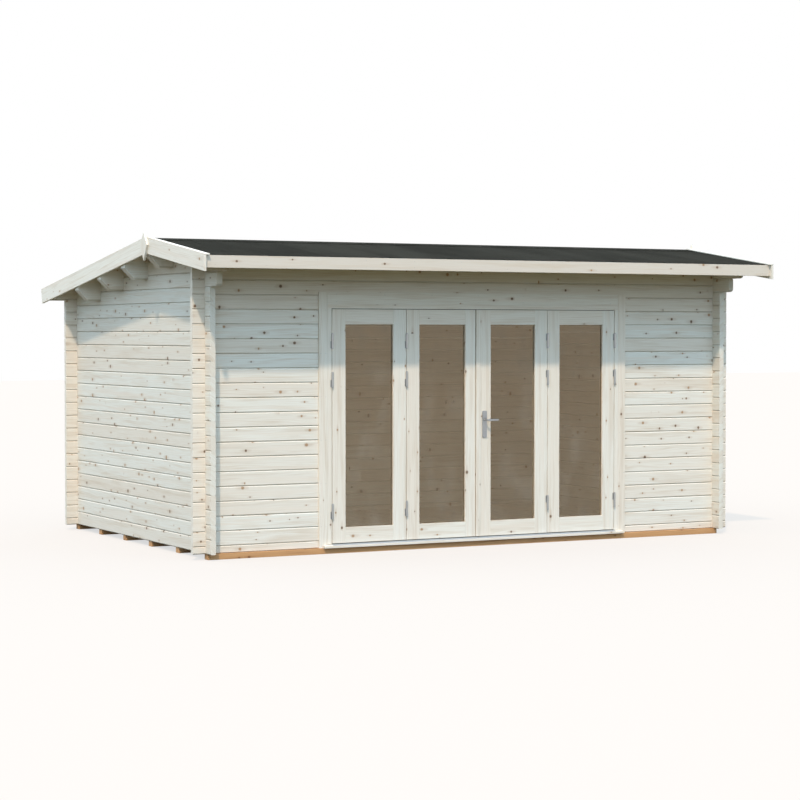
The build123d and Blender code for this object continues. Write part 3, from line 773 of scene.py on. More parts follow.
# Painted shade: a near-black metal for the recesses in the screws and the keyways, which are dark inserts,
# not hollows.
painted_shade_slot = drawn_metal("dark_keyway", tone(0.05, 0.05, 0.055), tone(0.02, 0.02, 0.022), 0.5, "z")
for leaf in LEAVES:
    dress(glass_finish, leaf + "_glass")
dress(hinge_steel, "jamb_hinges")
for owner in ("side_leaf", "left_door", "right_door"):
    dress(hinge_steel, owner + "_hinge_halves")
dress(satin, "handle_plates", "door_lever")
dress(mill, "sill_strip")
print("metals:", ", ".join(metal.name for metal in (hinge_steel, satin, mill)))

# %% [markdown]
# ## Eased edges
#
# A planed board never has a knife edge: the joiner takes it off, and that narrow round is what catches
# the sun. The model's boards are sharp, and its own meshes stay as they are, so each board that shows is
# copied, its triangles are joined into whole faces, and the sharp edges of the copy are bevelled. The
# copy then stands for the board. A Bevel modifier would do it too, but only after the same cleaning.

# %% Copy the boards and ease their edges
SLOT_OF = {row["node"]: row["material_slot"] for row in frame["record"]["subparts"]}
BODY_OF = {node: body for body, members in frame["record"]["behaviour"]["bodies"].items() for node in members}
SHARP = math.radians(25.0)
FLUSH = math.radians(0.5)
MERGE = 0.00002
EDGE_STEPS = 2
EDGE_FULLNESS = 0.6


def new_piece(name, mesh, body, slot, *stands_for):
    """An object at the origin that rides on a body and may stand for some of the model's pieces."""
    piece = put(name, mesh)
    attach(piece, body)
    if stands_for:
        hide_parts(*stands_for)
    return piece


def to_mesh(name, work, *finishes):
    """A mesh from a bmesh, with its finishes."""
    mesh = bpy.data.meshes.new(name)
    work.to_mesh(mesh)
    work.free()
    for finish in finishes:
        mesh.materials.append(finish)
    return mesh


def eased(node, radius):
    """A copy of a board with its edges rounded, standing for it."""
    work = bmesh.new()
    work.from_mesh(nodes[node].data)
    bmesh.ops.remove_doubles(work, verts=work.verts, dist=MERGE)
    bmesh.ops.dissolve_limit(work, angle_limit=FLUSH, verts=work.verts, edges=work.edges)
    sharp = [edge for edge in work.edges if edge.is_manifold and edge.calc_face_angle() > SHARP]
    rounding = {"offset": radius, "segments": EDGE_STEPS, "profile": EDGE_FULLNESS, "clamp_overlap": True}
    bmesh.ops.bevel(work, geom=sharp, affect="EDGES", **rounding)
    mesh = to_mesh(node + "_eased", work, nodes[node].data.materials[0])
    return new_piece(node + "_eased", mesh, BODY_OF[node], SLOT_OF[node], node)


ROUNDED = {
    0.0020: ["left_barge_boards", "right_barge_boards", "front_fascia", "back_fascia", "outside_casing",
             "inside_casing", "ground_bearers", "ridge_purlin", "back_purlins"],
    0.0015: ["left_cover_strips", "right_cover_strips", "left_finial", "right_finial", "door_jambs",
             "door_sill", "meeting_strip"] + [leaf + "_frame" for leaf in LEAVES],
    0.0012: ["handle_plates"],
}
for radius, boards in ROUNDED.items():
    for board in boards:
        eased(board, radius)
print("eased", sum(len(boards) for boards in ROUNDED.values()), "pieces")

# %% [markdown]
# ## Boards and felt in a row
#
# Roof boards, floor boards and felt strips are the same thing again and again along the house. An Array
# modifier repeats a mesh, but Geometry Nodes also let each copy differ a little: here every board is
# lifted or dropped by a hair, as laid boards are. The tree takes one board and hands back the row, with
# the copies made real.

# %% A tree that repeats what it is given
GEOMETRY = "NodeSocketGeometry"


def new_tree(name, wanted):
    """A node group that takes a geometry and the wanted sockets, with its graph and its inputs by name."""
    tree = bpy.data.node_groups.new(name, "GeometryNodeTree")
    tree.interface.new_socket("Geometry", in_out="INPUT", socket_type=GEOMETRY)
    for label, kind in wanted.items():
        tree.interface.new_socket(label, in_out="INPUT", socket_type=kind)
    tree.interface.new_socket("Geometry", in_out="OUTPUT", socket_type=GEOMETRY)
    graph = Graph(tree)
    source = graph.node("NodeGroupInput")
    return tree, graph, {label: source.of(label) for label in ["Geometry", *wanted]}


def end_tree(graph, instances, material):
    """Make the copies real, give them their finish and hand them out."""
    real = graph.node("GeometryNodeRealizeInstances", {}, {0: instances})
    finished = graph.node("GeometryNodeSetMaterial", {}, {"Geometry": real, "Material": material})
    graph.node("NodeGroupOutput", {}, {0: finished})


def grow(tree, seed_mesh, values):
    """Run a tree on a mesh and give the plain mesh that comes out."""
    maker = put(tree.name, seed_mesh)
    modifier = maker.modifiers.new(tree.name, "NODES")
    modifier.node_group = tree
    for item in tree.interface.items_tree:
        if item.in_out == "INPUT" and item.name in values:
            modifier[item.identifier] = values[item.name]
    bpy.context.view_layer.update()
    graph = bpy.context.evaluated_depsgraph_get()
    made = maker.evaluated_get(graph)
    mesh = bpy.data.meshes.new_from_object(made, preserve_all_data_layers=True, depsgraph=graph)
    bpy.data.objects.remove(maker)
    return mesh


def row_tree():
    wanted = {"Count": "NodeSocketInt", "Step": "NodeSocketFloat", "Unevenness": "NodeSocketFloat",
              "Seed": "NodeSocketInt", "Finish": "NodeSocketMaterial"}
    tree, g, given = new_tree("laid_in_a_row", wanted)
    step = g.node("ShaderNodeCombineXYZ", {}, {0: given["Step"]})
    line = g.node("GeometryNodeMeshLine", {}, {"Count": given["Count"], "Offset": step})
    copies = g.node("GeometryNodeInstanceOnPoints", {}, {"Points": line, "Instance": given["Geometry"]})
    limits = {2: given["Unevenness"] * -1.0, 3: given["Unevenness"], "Seed": given["Seed"]}
    lift = g.node("FunctionNodeRandomValue", {"data_type": "FLOAT"}, limits, out=1)
    shift = g.node("ShaderNodeCombineXYZ", {}, {2: lift})
    moved = g.node("GeometryNodeTranslateInstances", {}, {"Instances": copies, "Translation": shift})
    end_tree(g, moved, given["Finish"])
    return tree


ROW = row_tree()
print("tree", ROW.name, "has", len(ROW.nodes), "nodes")

# %% Meshes from outlines


def prism(name, ends):
    """A closed mesh between two or more outlines with as many points each."""
    work = bmesh.new()
    rings = [[work.verts.new(point) for point in outline] for outline in ends]
    for first, second in zip(rings, rings[1:]):
        for index in range(len(first)):
            following = (index + 1) % len(first)
            work.faces.new((first[index], first[following], second[following], second[index]))
    work.faces.new(reversed(rings[0]))
    work.faces.new(rings[-1])
    bmesh.ops.recalc_face_normals(work, faces=work.faces)
    return to_mesh(name, work)


def joined(*meshes):
    """Several meshes as one, in the finishes of the first."""
    work = bmesh.new()
    for mesh in meshes:
        work.from_mesh(mesh)
    return to_mesh(meshes[0].name, work, *meshes[0].materials)


# %% Roof boards, felt and floor boards
V_JOINT = 0.003
BOARD_GAP = 0.0006
HAIR = 0.0003
FELT_SHEET = 0.0018
RIDGE_CAP = 0.16
RIDGE_CAP_SHEET = 0.002
RIDGE_CAP_EDGE = 0.030


def board_section(width, thickness, joint_below):
    """Outline of a board as (across, lift): its joint is bevelled on the side that shows."""
    left, right = BOARD_GAP / 2, width - BOARD_GAP / 2
    if joint_below:
        return [(left + V_JOINT, HAIR), (right - V_JOINT, HAIR), (right, V_JOINT), (right, thickness - HAIR),
                (left, thickness - HAIR), (left, V_JOINT)]
    top = thickness - HAIR
    return [(left, HAIR), (right, HAIR), (right, top - V_JOINT / 2), (right - V_JOINT / 2, top),
            (left + V_JOINT / 2, top), (left, top - V_JOINT / 2)]


def felt_section(width):
    """Outline of a strip as (across, lift): it climbs over the strip on its right, which tucks under it."""
    rise = FELT_THICKNESS - FELT_SHEET - HAIR
    low_lift = BOARD_THICKNESS + HAIR
    end = width + FELT_LAP
    under = [(0.0, low_lift), (width, low_lift + rise), (end, low_lift + rise)]
    return under + [(across, lift + FELT_SHEET) for across, lift in reversed(under)]


def reaches_out(node, side):
    """How far out a piece of the front or back reaches, as y."""
    return low(node).y if side == "front" else high(node).y


def down_slope(section, foot):
    """Outlines of a section at the ridge and at the foot of a slope."""
    return [[(ROOF_LEFT + across, y, roof_height(y, lift)) for across, lift in section]
            for y in (RIDGE_Y, foot)]


def laid(name, board, count, step, seed, finish, node, unevenness=HAIR / 2):
    """A row of boards that stands for a slab of the model."""
    values = {"Count": count, "Step": step, "Unevenness": unevenness, "Seed": seed, "Finish": finish}
    mesh = grow(ROW, board, values)
    return new_piece(name, mesh, "house", SLOT_OF[node], node)


for seed, side in enumerate(("front", "back")):
    boards, felt = side + "_roof_boards", side + "_roof_felt"
    section = board_section(ROOF_BOARD, BOARD_THICKNESS, True)
    board = prism("roof_board", down_slope(section, reaches_out(boards, side)))
    laid(side + "_roof_boarding", board, ROOF_BOARDS, ROOF_BOARD, seed, roof_board_finish, boards)
    strip = prism("felt_strip", down_slope(felt_section(FELT_STRIP), reaches_out(felt, side)))
    laid(side + "_felt_strips", strip, FELT_STRIPS, FELT_STRIP, seed + 5, felt_finish, felt, 0.0)

floor_low, floor_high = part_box("floor")
section = board_section(FLOOR_BOARD, floor_high.z - floor_low.z, False)
ends = [[(floor_low.x + across, y, floor_low.z + lift) for across, lift in section]
        for y in (floor_low.y, floor_high.y)]
laid("floor_boarding", prism("floor_board", ends), FLOOR_BOARDS, FLOOR_BOARD, 9, floor_board_finish, "floor")

cap_low = BOARD_THICKNESS + FELT_THICKNESS
cap_high = cap_low + RIDGE_CAP_SHEET
cap_line = [(RIDGE_Y - RIDGE_CAP, cap_low), (RIDGE_Y, cap_low), (RIDGE_Y + RIDGE_CAP, cap_low),
            (RIDGE_Y + RIDGE_CAP, cap_high), (RIDGE_Y, cap_high), (RIDGE_Y - RIDGE_CAP, cap_high)]
cap = prism("ridge_felt", [[(x, y, roof_height(y, lift)) for y, lift in cap_line]
                           for x in (ROOF_LEFT + RIDGE_CAP_EDGE, ROOF_RIGHT - RIDGE_CAP_EDGE)])
cap.materials.append(felt_finish)
new_piece("ridge_felt", cap, "house", "roof_felt")
print("laid", ROOF_BOARDS * 2 + FLOOR_BOARDS, "boards and", FELT_STRIPS * 2, "strips of felt")

# %% [markdown]
# ## Glazing beads
#
# Seen from the garden, each pane simply sits in its frame; slim beads, mitred at the corners, hold it
# from the room side. They follow a rectangle, so they could be a curve with a profile; four mitred
# corners are so few points that writing them out is clearer, and the profile stays exactly where it
# should be against the glass.

# %% Beads round the panes
BEAD_WIDTH = 0.007
BEAD_DEPTH = 0.013
BEAD_NOSE = 0.55
BEAD_SHOULDER = 0.6
BEAD_STEPS = 4
SEAT = 0.0003


def bead_profile(glass):
    """Profile of a bead as (in from the rebate, y): square to wood and glass, rounded off between."""
    start = glass + SEAT
    rounded = []
    for step in range(BEAD_STEPS + 1):
        angle = math.pi / 2 * step / BEAD_STEPS
        reach = BEAD_WIDTH * (BEAD_NOSE + (1 - BEAD_NOSE) * math.cos(angle))
        rise = BEAD_DEPTH * (BEAD_SHOULDER + (1 - BEAD_SHOULDER) * math.sin(angle))
        rounded.append((reach, start + rise))
    return [(SEAT, start), (BEAD_WIDTH, start), *rounded, (SEAT, start + BEAD_DEPTH)]


def mitred(work, box, profile):
    """A profile run round a rectangle in the plane of the front."""
    x0, x1, z0, z1 = box
    corners = ((x0, z0, 1, 1), (x1, z0, -1, 1), (x1, z1, -1, -1), (x0, z1, 1, -1))
    rings = [[work.verts.new((x + sx * into, y, z + sz * into)) for into, y in profile]
             for x, z, sx, sz in corners]
    for index, ring in enumerate(rings):
        after = rings[(index + 1) % len(rings)]
        for spot in range(len(profile)):
            following = (spot + 1) % len(profile)
            work.faces.new((ring[spot], ring[following], after[following], after[spot]))


def round_the_pane(leaf, name, profile, finish, slot):
    """A profile run round a leaf's pane, riding with the leaf."""
    near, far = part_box(leaf + "_glass")
    opening = (near.x + PANE_BITE, far.x - PANE_BITE, near.z + PANE_BITE, far.z - PANE_BITE)
    work = bmesh.new()
    mitred(work, opening, profile(far.y))
    bmesh.ops.recalc_face_normals(work, faces=work.faces)
    new_piece(name, to_mesh(name, work, finish), LEAVES[leaf], slot)


for leaf in LEAVES:
    finish = nodes[leaf + "_frame"].data.materials[0]
    round_the_pane(leaf, leaf + "_beads", bead_profile, finish, SLOT_OF[leaf + "_frame"])
print("beads round", len(LEAVES), "panes")

# %% [markdown]
# ## Spacers and draught seals
#
# A sealed pane has a bronze bar along its edge that keeps the two sheets apart, and a door frame has a
# brown rubber seal in the gap round each leaf. Both are only millimetres wide, but they draw the thin
# dark lines round the panes and the leaves. The lines could be painted on the wood, but then a door would
# carry them along when it opens: the seals stay behind on the frame, and on the edges of the fixed
# leaves.

# %% Spacers behind the glass
SPACER = 0.009
SPACER_DEPTH = 0.003


def dull_strip(name, dark, light):
    finish, g = new_finish(name)
    x, y, z = g.place()
    worn = g.noise(x * 60.0 + y * 60.0, z * 9.0, 3.0)
    show_surface(g, {"Base Color": g.blend(worn, dark, light), "Roughness": 0.55 + worn * 0.3})
    return finish


rubber = dull_strip("brown_rubber", tone(0.050, 0.037, 0.025), tone(0.11, 0.085, 0.060))
spacer_finish = dull_strip("bronze_spacer", tone(0.13, 0.105, 0.080), tone(0.22, 0.18, 0.14))


def spacer_profile(glass):
    back = glass + SEAT
    return [(SEAT, back), (SPACER, back), (SPACER, back + SPACER_DEPTH), (SEAT, back + SPACER_DEPTH)]


for leaf in LEAVES:
    round_the_pane(leaf, leaf + "_spacer", spacer_profile, spacer_finish, "sill_metal")
print("spacers in", len(LEAVES), "panes")

# %% Seals in the gaps
GAP = 0.005
REACH = 0.0042
SEAL_SETBACK = 0.010
SEAL_DEPTH = 0.006


def seal_section(start, end):
    """Outline of a seal across its gap, as (across, y): narrower towards the outside."""
    front = FACE + SEAL_SETBACK
    back = front + SEAL_DEPTH
    inset = (end - start) / 4
    return [(start + inset, front), (end - inset, front), (end, back), (start, back)]


def upright_seal(x0, x1, z0, z1):
    return prism("seal", [[(x, y, z) for x, y in seal_section(x0, x1)] for z in (z0, z1)])


def level_seal(x0, x1, z0, z1):
    return prism("seal", [[(x, y, z) for z, y in seal_section(z0, z1)] for x in (x0, x1)])


leaf_low, leaf_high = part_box("left_side_leaf_frame")
set_half = -leaf_low.x + GAP
fixed_edge = -leaf_high.x
seals = [level_seal(-set_half, set_half, leaf_high.z + GAP - REACH, leaf_high.z + GAP)]
for side in (-1, 1):
    for start in (set_half, fixed_edge):
        x0, x1 = sorted((side * start, side * (start - REACH)))
        seals.append(upright_seal(x0, x1, leaf_low.z, leaf_high.z))
seal_mesh = joined(*seals)
seal_mesh.materials.append(rubber)
new_piece("draught_seals", seal_mesh, "house", "roof_felt")
print(len(seals), "draught seals")

# %% [markdown]
# ## Hinges and screws
#
# There are twenty-four hinge halves and hundreds of screws and nails, all alike. They could be copied in
# a loop, but a tree that puts a given piece on every point of a mesh keeps the places apart from the
# shape: the places are a handful of points with a turn each, and a better screw can be swapped in without
# touching them.

# %% A tree that puts a piece on every point


def points_tree():
    wanted = {"Piece": "NodeSocketObject", "Twist": "NodeSocketFloat", "Seed": "NodeSocketInt",
              "Finish": "NodeSocketMaterial"}
    tree, g, given = new_tree("fixed_at_points", wanted)
    shape = g.node("GeometryNodeObjectInfo", {}, {"Object": given["Piece"]}, out="Geometry")
    turn = g.node("GeometryNodeInputNamedAttribute", {"data_type": "FLOAT_VECTOR"}, {"Name": "turn"})
    rotation = g.node("FunctionNodeEulerToRotation", {}, {0: turn})
    places = {"Points": given["Geometry"], "Instance": shape, "Rotation": rotation}
    copies = g.node("GeometryNodeInstanceOnPoints", {}, places)
    limits = {2: given["Twist"] * -1.0, 3: given["Twist"], "Seed": given["Seed"]}
    twist = g.node("FunctionNodeRandomValue", {"data_type": "FLOAT"}, limits, out=1)
    spin = g.node("FunctionNodeEulerToRotation", {}, {0: g.node("ShaderNodeCombineXYZ", {}, {2: twist})})
    turned = g.node("GeometryNodeRotateInstances", {}, {"Instances": copies, "Rotation": spin})
    end_tree(g, turned, given["Finish"])
    return tree


AT_POINTS = points_tree()
print("tree", AT_POINTS.name, "has", len(AT_POINTS.nodes), "nodes")


def facing(direction):
    """The turn that points a piece's top in a direction."""
    return Vector(direction).to_track_quat("Z", "Y").to_euler()


def fixed(shape, places, finish, twist=0.0, seed=1):
    """A shape put on places, which are (point, turn) pairs, as one plain mesh."""
    points = bpy.data.meshes.new("places")
    points.from_pydata([point for point, turn in places], [], [])
    turns = points.attributes.new("turn", "FLOAT_VECTOR", "POINT")
    for index, (point, turn) in enumerate(places):
        turns.data[index].vector = turn
    sample = put("sample", shape)
    mesh = grow(AT_POINTS, points, {"Piece": sample, "Twist": twist, "Seed": seed, "Finish": finish})
    bpy.data.objects.remove(sample)
    return mesh


def lathe(profile, sides):
    """A turned shape: a profile of (radius, height) points spun about Z, closed at both ends."""
    angles = [2 * math.pi * side / sides for side in range(sides)]
    return prism("turned", [[(radius * math.cos(angle), radius * math.sin(angle), height) for angle in angles]
                            for radius, height in profile])


# %% Hinge halves
HINGE_RADIUS = 0.0085
HINGE_HALF = 0.065
HINGE_GAP = 0.0002
HINGE_STANDOFF = 0.009
BARREL_FOOT = [(0.93, 0.0), (1.0, 0.0008)]
BARREL_TOP = [(1.0, 0.006), (0.9, 0.005), (0.72, 0.005), (0.72, 0.0035), (0.6, 0.0012), (0.3, 0.0002)]
BARREL_SIDES = 20
FLAG_START = 0.003
FLAG_WIDTH = 0.015
FLAG_THICKNESS = 0.002
FLAG_CORNER = 0.004
LEAF_LOW = low("left_door_frame").z
LEAF_HEIGHT = high("left_door_frame").z - LEAF_LOW
HINGE_SHARES = (0.136, 0.699, 0.864)
LEAF_PITCH = (GAP / 2 - low("left_side_leaf_frame").x) / 2
HINGE_AXIS = FACE - HINGE_STANDOFF


def half_hinge(flag_side):
    """The upper half of a hinge about its axis: a barrel with a capped pin, and a flag on the wood."""
    profile = [(HINGE_RADIUS * share, HINGE_GAP + rise) for share, rise in BARREL_FOOT]
    profile += [(HINGE_RADIUS * share, HINGE_HALF - drop) for share, drop in BARREL_TOP]
    barrel = lathe(profile, BARREL_SIDES)
    inner, outer, corner = [flag_side * reach for reach in (FLAG_START, FLAG_WIDTH, FLAG_CORNER)]
    cut = FLAG_CORNER
    bottom, top = HINGE_GAP + 0.0006, HINGE_HALF - 0.006
    outline = [(inner, bottom), (outer - corner, bottom), (outer, bottom + cut), (outer, top - cut),
               (outer - corner, top), (inner, top)]
    wood = HINGE_STANDOFF - SEAT
    flag = prism("flag", [[(x, y, z) for x, z in outline] for y in (wood - FLAG_THICKNESS, wood)])
    return joined(barrel, flag)


UPPER = (0.0, 0.0, 0.0)
LOWER = (0.0, math.pi, 0.0)


def hinge_places(x, turn):
    heights = [LEAF_LOW + LEAF_HEIGHT * share for share in HINGE_SHARES]
    return [((x, HINGE_AXIS, z), turn) for z in heights]


fixed_halves = []
for side in (-1, 1):
    shape = half_hinge(-side)
    jamb = side * 2 * LEAF_PITCH
    upper_and_lower = hinge_places(jamb, UPPER) + hinge_places(jamb, LOWER)
    # Turned end over end about Y, a half's flag also changes sides, as the lower half of a hinge does.
    lower = hinge_places(side * LEAF_PITCH, LOWER)
    fixed_halves.append(fixed(shape, upper_and_lower + lower, hinge_steel))
    door = "left_door" if side < 0 else "right_door"
    upper = fixed(shape, hinge_places(side * LEAF_PITCH, UPPER), hinge_steel)
    new_piece(door + "_hinges", upper, door, "hinge_steel", door + "_hinge_halves")
all_fixed = joined(*fixed_halves)
new_piece("fixed_hinges", all_fixed, "house", "hinge_steel", "jamb_hinges", "side_leaf_hinge_halves")
print("hinge axes at x", round(LEAF_PITCH, 4), round(2 * LEAF_PITCH, 4))

# %% [markdown]
# ## Screws and nails
#
# Casings and barge boards are nailed with round-headed nails, two at each crossing; the felt is held
# along its laps with flat clout nails; hinges, plates and threshold have countersunk screws with a cross
# recess. Each head is only a few millimetres, so it is a small turned shape with few sides.

# %% Nails in the boards
NAIL = [(0.0010, -0.004), (0.0020, -0.0002), (0.0021, 0.0002), (0.0016, 0.0006), (0.0006, 0.0008)]
NAIL_EDGE = 0.016
NAIL_END = 0.08
EVERY_THIRD_LOG = 3
HEAD_NAILS = (0.02, 0.075)
VERGE_NAILS = (-0.02, -0.07)
FASCIA_NAILS = (0.022, 0.070)
PURLIN_SPACING = 0.559
VERGE_STEPS = [-1.15, -0.72, -0.12, 0.12, *[PURLIN_SPACING * step for step in range(1, 4)], 2.2, 2.5]
TO_FRONT = facing((0, -1, 0))
TO_BACK = facing((0, 1, 0))
nail = lathe(NAIL, 10)


def spread(start, end, margin, count):
    """Places along a line, the outer ones a margin in from its ends."""
    return [start + margin + (end - start - 2 * margin) * step / (count - 1) for step in range(count)]


front_y = low("outside_casing").y
casing_high = high("outside_casing")
casing_nails = []
for side in (-1, 1):
    for course in range(1, SIDE_COURSES, EVERY_THIRD_LOG):
        z = LOG_BASE + LOG_PITCH * (course + 0.5)
        for inset in (NAIL_EDGE, CASING_WIDTH - NAIL_EDGE):
            casing_nails.append(((side * (casing_high.x - inset), front_y, z), TO_FRONT))
for x in spread(-casing_inner, casing_inner, NAIL_END, 7):
    for inset in HEAD_NAILS:
        casing_nails.append(((x, front_y, casing_high.z - inset), TO_FRONT))

verge_nails = []
for side, face_x in ((-1, low("left_barge_boards").x), (1, high("right_barge_boards").x)):
    outwards = facing((side, 0, 0))
    for y in [RIDGE_Y + step for step in VERGE_STEPS]:
        for lift in VERGE_NAILS:
            verge_nails.append(((face_x, y, roof_height(y, lift)), outwards))

fascia_nails = []
for side, turn in (("front", TO_FRONT), ("back", TO_BACK)):
    board = side + "_fascia"
    for x in spread(ROOF_LEFT, ROOF_RIGHT, NAIL_END, 13):
        for inset in FASCIA_NAILS:
            fascia_nails.append(((x, reaches_out(board, side), high(board).z - inset), turn))

house_nails = [fixed(nail, places, hinge_steel) for places in (casing_nails, verge_nails, fascia_nails)]
new_piece("board_nails", joined(*house_nails), "house", "hinge_steel")
print(len(casing_nails) + len(verge_nails) + len(fascia_nails), "board nails")

# %% Clout nails in the felt
CLOUT = [(0.0015, -0.004), (0.0048, -0.0002), (0.0050, 0.0005), (0.0044, 0.0009)]
CLOUT_SPACING = 0.11
ACROSS_THE_LAP = 0.7
clout = lathe(CLOUT, 8)
felt_nails = []
nail_lift = BOARD_THICKNESS + FELT_THICKNESS - HAIR
front_reach = RIDGE_Y - low("front_roof_felt").y
back_reach = high("back_roof_felt").y - RIDGE_Y
for strip in range(1, FELT_STRIPS):
    x = ROOF_LEFT + FELT_STRIP * strip + FELT_LAP * ACROSS_THE_LAP
    for side, reach in ((-1, front_reach), (1, back_reach)):
        count = round(reach / CLOUT_SPACING)
        for step in range(2, count):
            y = RIDGE_Y + side * reach * step / count
            felt_nails.append(((x, y, roof_height(y, nail_lift)), facing((0, side * SLOPE, 1))))
new_piece("felt_nails", fixed(clout, felt_nails, felt_finish), "house", "roof_felt")
print(len(felt_nails), "clout nails")

# %% A screw with a recess of painted shade
SCREW_RADIUS = 0.0028
SCREW_TOP = 0.00095
RECESS_DEPTH = 0.0003
FLAG_MIDDLE = 0.0116
FLAG_SCREWS = (0.015, 0.044)
flag_y = FACE - FLAG_THICKNESS - SEAT


def screw_head(radius):
    """A low screw head, and a thin dark cross set into its top: painted shade for the recess."""
    head = lathe([(radius * 0.4, -0.003), (radius, -0.0003), (radius, 0.0004), (radius * 0.8, 0.0009)], 12)
    arms = []
    reach, half = radius * 0.55, radius * 0.12
    for across, along in ((reach, half), (half, reach)):
        outline = [(-across, -along), (across, -along), (across, along), (-across, along)]
        heights = (SCREW_TOP - RECESS_DEPTH, SCREW_TOP)
        arms.append(prism("recess", [[(x, y, z) for x, y in outline] for z in heights]))
    return head, joined(*arms)


head, recess = screw_head(SCREW_RADIUS)


def flag_screws(x, flag_side, upper):
    """Two screws in each flag of a column of hinge halves."""
    rise = 1 if upper else -1
    return [((x + flag_side * FLAG_MIDDLE, flag_y, LEAF_LOW + LEAF_HEIGHT * share + rise * height), TO_FRONT)
            for share in HINGE_SHARES for height in FLAG_SCREWS]


def with_painted_shade_slots(metal, slots):
    """Metal and the dark marks of painted shade for its recesses, as one mesh with two finishes."""
    both = joined(metal, slots)
    both.materials.append(painted_shade_slot)
    for index in range(len(metal.polygons), len(both.polygons)):
        both.polygons[index].material_index = 1
    return both


def screws(name, places, body, seed):
    """Screw heads with recesses of painted shade, turned any way, as one piece."""
    heads = fixed(head, places, hinge_steel, math.pi, seed)
    crosses = fixed(recess, places, painted_shade_slot, math.pi, seed)
    return new_piece(name, with_painted_shade_slots(heads, crosses), body, "hinge_steel")


print("screw heads", round(2000 * SCREW_RADIUS, 1), "mm wide")

# %% Screws in the hinges, the plates and the threshold
STRIP_FALL = math.atan2(0.0096, 0.050)
STRIP_END = 0.09
PLATE_END = 0.014
house_screws = []
for side in (-1, 1):
    outer = side * 2 * LEAF_PITCH
    house_screws += flag_screws(outer, side, False) + flag_screws(outer, -side, True)
    house_screws += flag_screws(side * LEAF_PITCH, side, False)
strip_low, strip_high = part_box("sill_strip")
screw_y = strip_low.y + NAIL_EDGE
screw_z = strip_high.z - math.tan(STRIP_FALL) * (WALL_FRONT - screw_y)
strip_up = facing((0, -math.sin(STRIP_FALL), math.cos(STRIP_FALL)))
for x in spread(strip_low.x, strip_high.x, STRIP_END, 9):
    house_screws.append(((x, screw_y, screw_z), strip_up))
screws("house_screws", house_screws, "house", 3)
screws("left_door_screws", flag_screws(-LEAF_PITCH, 1, True), "left_door", 4)
plate_low, plate_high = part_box("handle_plates")
plate_middle = (plate_low.x + plate_high.x) / 2
plate_screws = []
for z in (plate_high.z - PLATE_END, plate_low.z + PLATE_END):
    plate_screws += [((plate_middle, plate_low.y, z), TO_FRONT), ((plate_middle, plate_high.y, z), TO_BACK)]
screws("right_door_screws", flag_screws(LEAF_PITCH, -1, True) + plate_screws, "right_door", 5)
print(len(house_screws), "screws on the house")

# %% [markdown]
# ## The handle
#
# The lever comes straight out of its plate, turns in a smooth bend and tapers to a rounded tip. The model
# has a plain bar there. Here a soft square section is run along the bend, with more rings where it turns,
# so that it reads as one cast piece; it stands for the bar and turns with it. A lock cylinder with its
# keyway sits below; the keyway is a thin dark slab of painted shade, not a slot.

# %% A soft section
SECTION_SIDES = 20


def soft_square(half_width, half_height, squareness):
    """A rounded section: a circle at squareness 2, nearly a rectangle at 5."""
    outline = []
    for side in range(SECTION_SIDES):
        angle = 2 * math.pi * (side + 0.5) / SECTION_SIDES
        c, s = math.cos(angle), math.sin(angle)
        outline.append((half_width * math.copysign(abs(c) ** (2 / squareness), c),
                        half_height * math.copysign(abs(s) ** (2 / squareness), s)))
    return outline


print("lever section of", SECTION_SIDES, "points")

# %% Cast the lever
LEVER_REACH = 0.052
NECK_ROOT = 0.004
NECK_LENGTH = 0.030
NECK_RADIUS = 0.0070
BEND = 0.016
BEND_STEPS = 8
GRIP_DEPTH = 0.0054
GRIP_HEIGHT = 0.0098
GRIP_SHARES = (0.2, 0.45, 0.7, 0.88)
TIP_HEIGHT = 0.0078
TIP_ANGLES = (0.5, 0.9, 1.2, 1.42)
ROUND, SOFT, SOFTER = 2.0, 3.4, 3.0
CRISP = math.radians(50)
lever_low, lever_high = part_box("door_lever")
axis_x = plate_middle
axis_z = (lever_low.z + lever_high.z) / 2


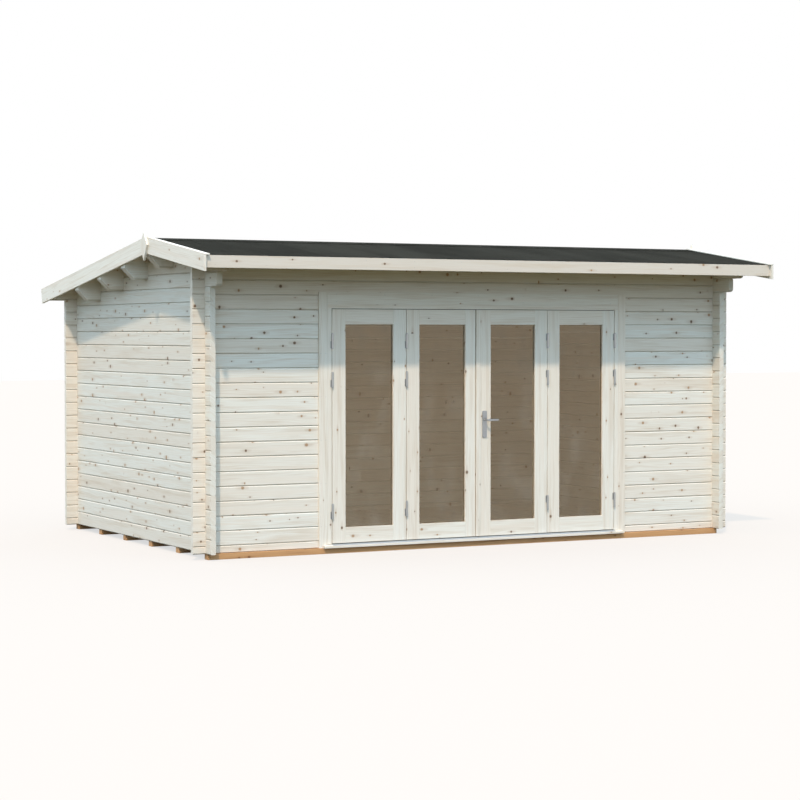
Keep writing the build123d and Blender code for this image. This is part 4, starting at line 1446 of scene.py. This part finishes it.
def lever_rings(face_y, outwards):
    """Sections from inside the leaf, out through the plate, round the bend and along the grip."""
    rings = []

    def ring(x, y, turn, half_depth, half_height, squareness):
        # At turn 0 the section looks along Y, at a quarter turn along X: it leans with the bend.
        points = []
        for across, up in soft_square(half_depth, half_height, squareness):
            points.append((x - across * math.cos(turn), y + outwards * across * math.sin(turn), axis_z + up))
        rings.append(points)

    bend_y = face_y + outwards * (LEVER_REACH - BEND)
    for out in (-NECK_ROOT, NECK_LENGTH):
        ring(axis_x, face_y + outwards * out, 0.0, NECK_RADIUS, NECK_RADIUS, ROUND)
    for step in range(BEND_STEPS + 1):
        share = step / BEND_STEPS
        turn = math.pi / 2 * share
        x = axis_x + BEND * (1 - math.cos(turn))
        y = bend_y + outwards * BEND * math.sin(turn)
        depth = NECK_RADIUS + (GRIP_DEPTH - NECK_RADIUS) * share
        height = NECK_RADIUS + (GRIP_HEIGHT - NECK_RADIUS) * share
        ring(x, y, turn, depth, height, ROUND + (SOFT - ROUND) * share)
    grip_y = bend_y + outwards * BEND
    tip = lever_high.x
    for share in GRIP_SHARES:
        x = axis_x + BEND + (tip - axis_x - BEND) * share
        height = GRIP_HEIGHT + (TIP_HEIGHT - GRIP_HEIGHT) * share
        ring(x, grip_y, math.pi / 2, GRIP_DEPTH, height, SOFT)
    for angle in TIP_ANGLES:
        x = tip - TIP_HEIGHT * (1 - math.sin(angle))
        size = math.cos(angle) ** 0.6
        ring(x, grip_y, math.pi / 2, GRIP_DEPTH * size, TIP_HEIGHT * size, SOFTER)
    return rings


grips = [prism("grip", lever_rings(face_y, outwards)) for face_y, outwards in ((FACE, -1), (LEAF_BACK, 1))]
lever_mesh = joined(*grips)
lever_mesh.materials.append(satin)
for polygon in lever_mesh.polygons:
    polygon.use_smooth = True
lever_mesh.set_sharp_from_angle(angle=CRISP)
new_piece("cast_lever", lever_mesh, "lever", "handle_metal", "door_lever")
print("lever reaches from x", round(axis_x, 3), "to", round(lever_high.x, 3))

# %% Collars and lock cylinders
KEYHOLE_DROP = 0.092
COLLAR = [(0.0118, -0.0004), (0.0118, 0.0022), (0.0106, 0.0032), (0.0084, 0.0034)]
CYLINDER = [(0.0070, -0.006), (0.0082, 0.0), (0.0082, 0.0018), (0.0074, 0.0026)]
KEYWAY = [(-0.0009, -0.0055), (0.0009, -0.0055), (0.0009, 0.0055), (-0.0009, 0.0055)]
collar = lathe(COLLAR, 28)
cylinder = lathe(CYLINDER, 24)
# The keyway is a thin dark slab on the cylinder's face, painted shade for the slot.
keyway = prism("keyway", [[(x, y, z) for x, y in KEYWAY] for z in (0.0020, 0.0028)])
plate_faces = [(plate_low.y, TO_FRONT), (plate_high.y, TO_BACK)]
collars = fixed(collar, [((axis_x, y, axis_z), turn) for y, turn in plate_faces], satin)
locks = [((axis_x, y, axis_z - KEYHOLE_DROP), turn) for y, turn in plate_faces]
lock_bodies = joined(collars, fixed(cylinder, locks, satin))
lock_parts = with_painted_shade_slots(lock_bodies, fixed(keyway, locks, painted_shade_slot))
new_piece("collars_and_locks", lock_parts, "right_door", "handle_metal")
print("keyholes", round(KEYHOLE_DROP * 1000), "mm below the lever")
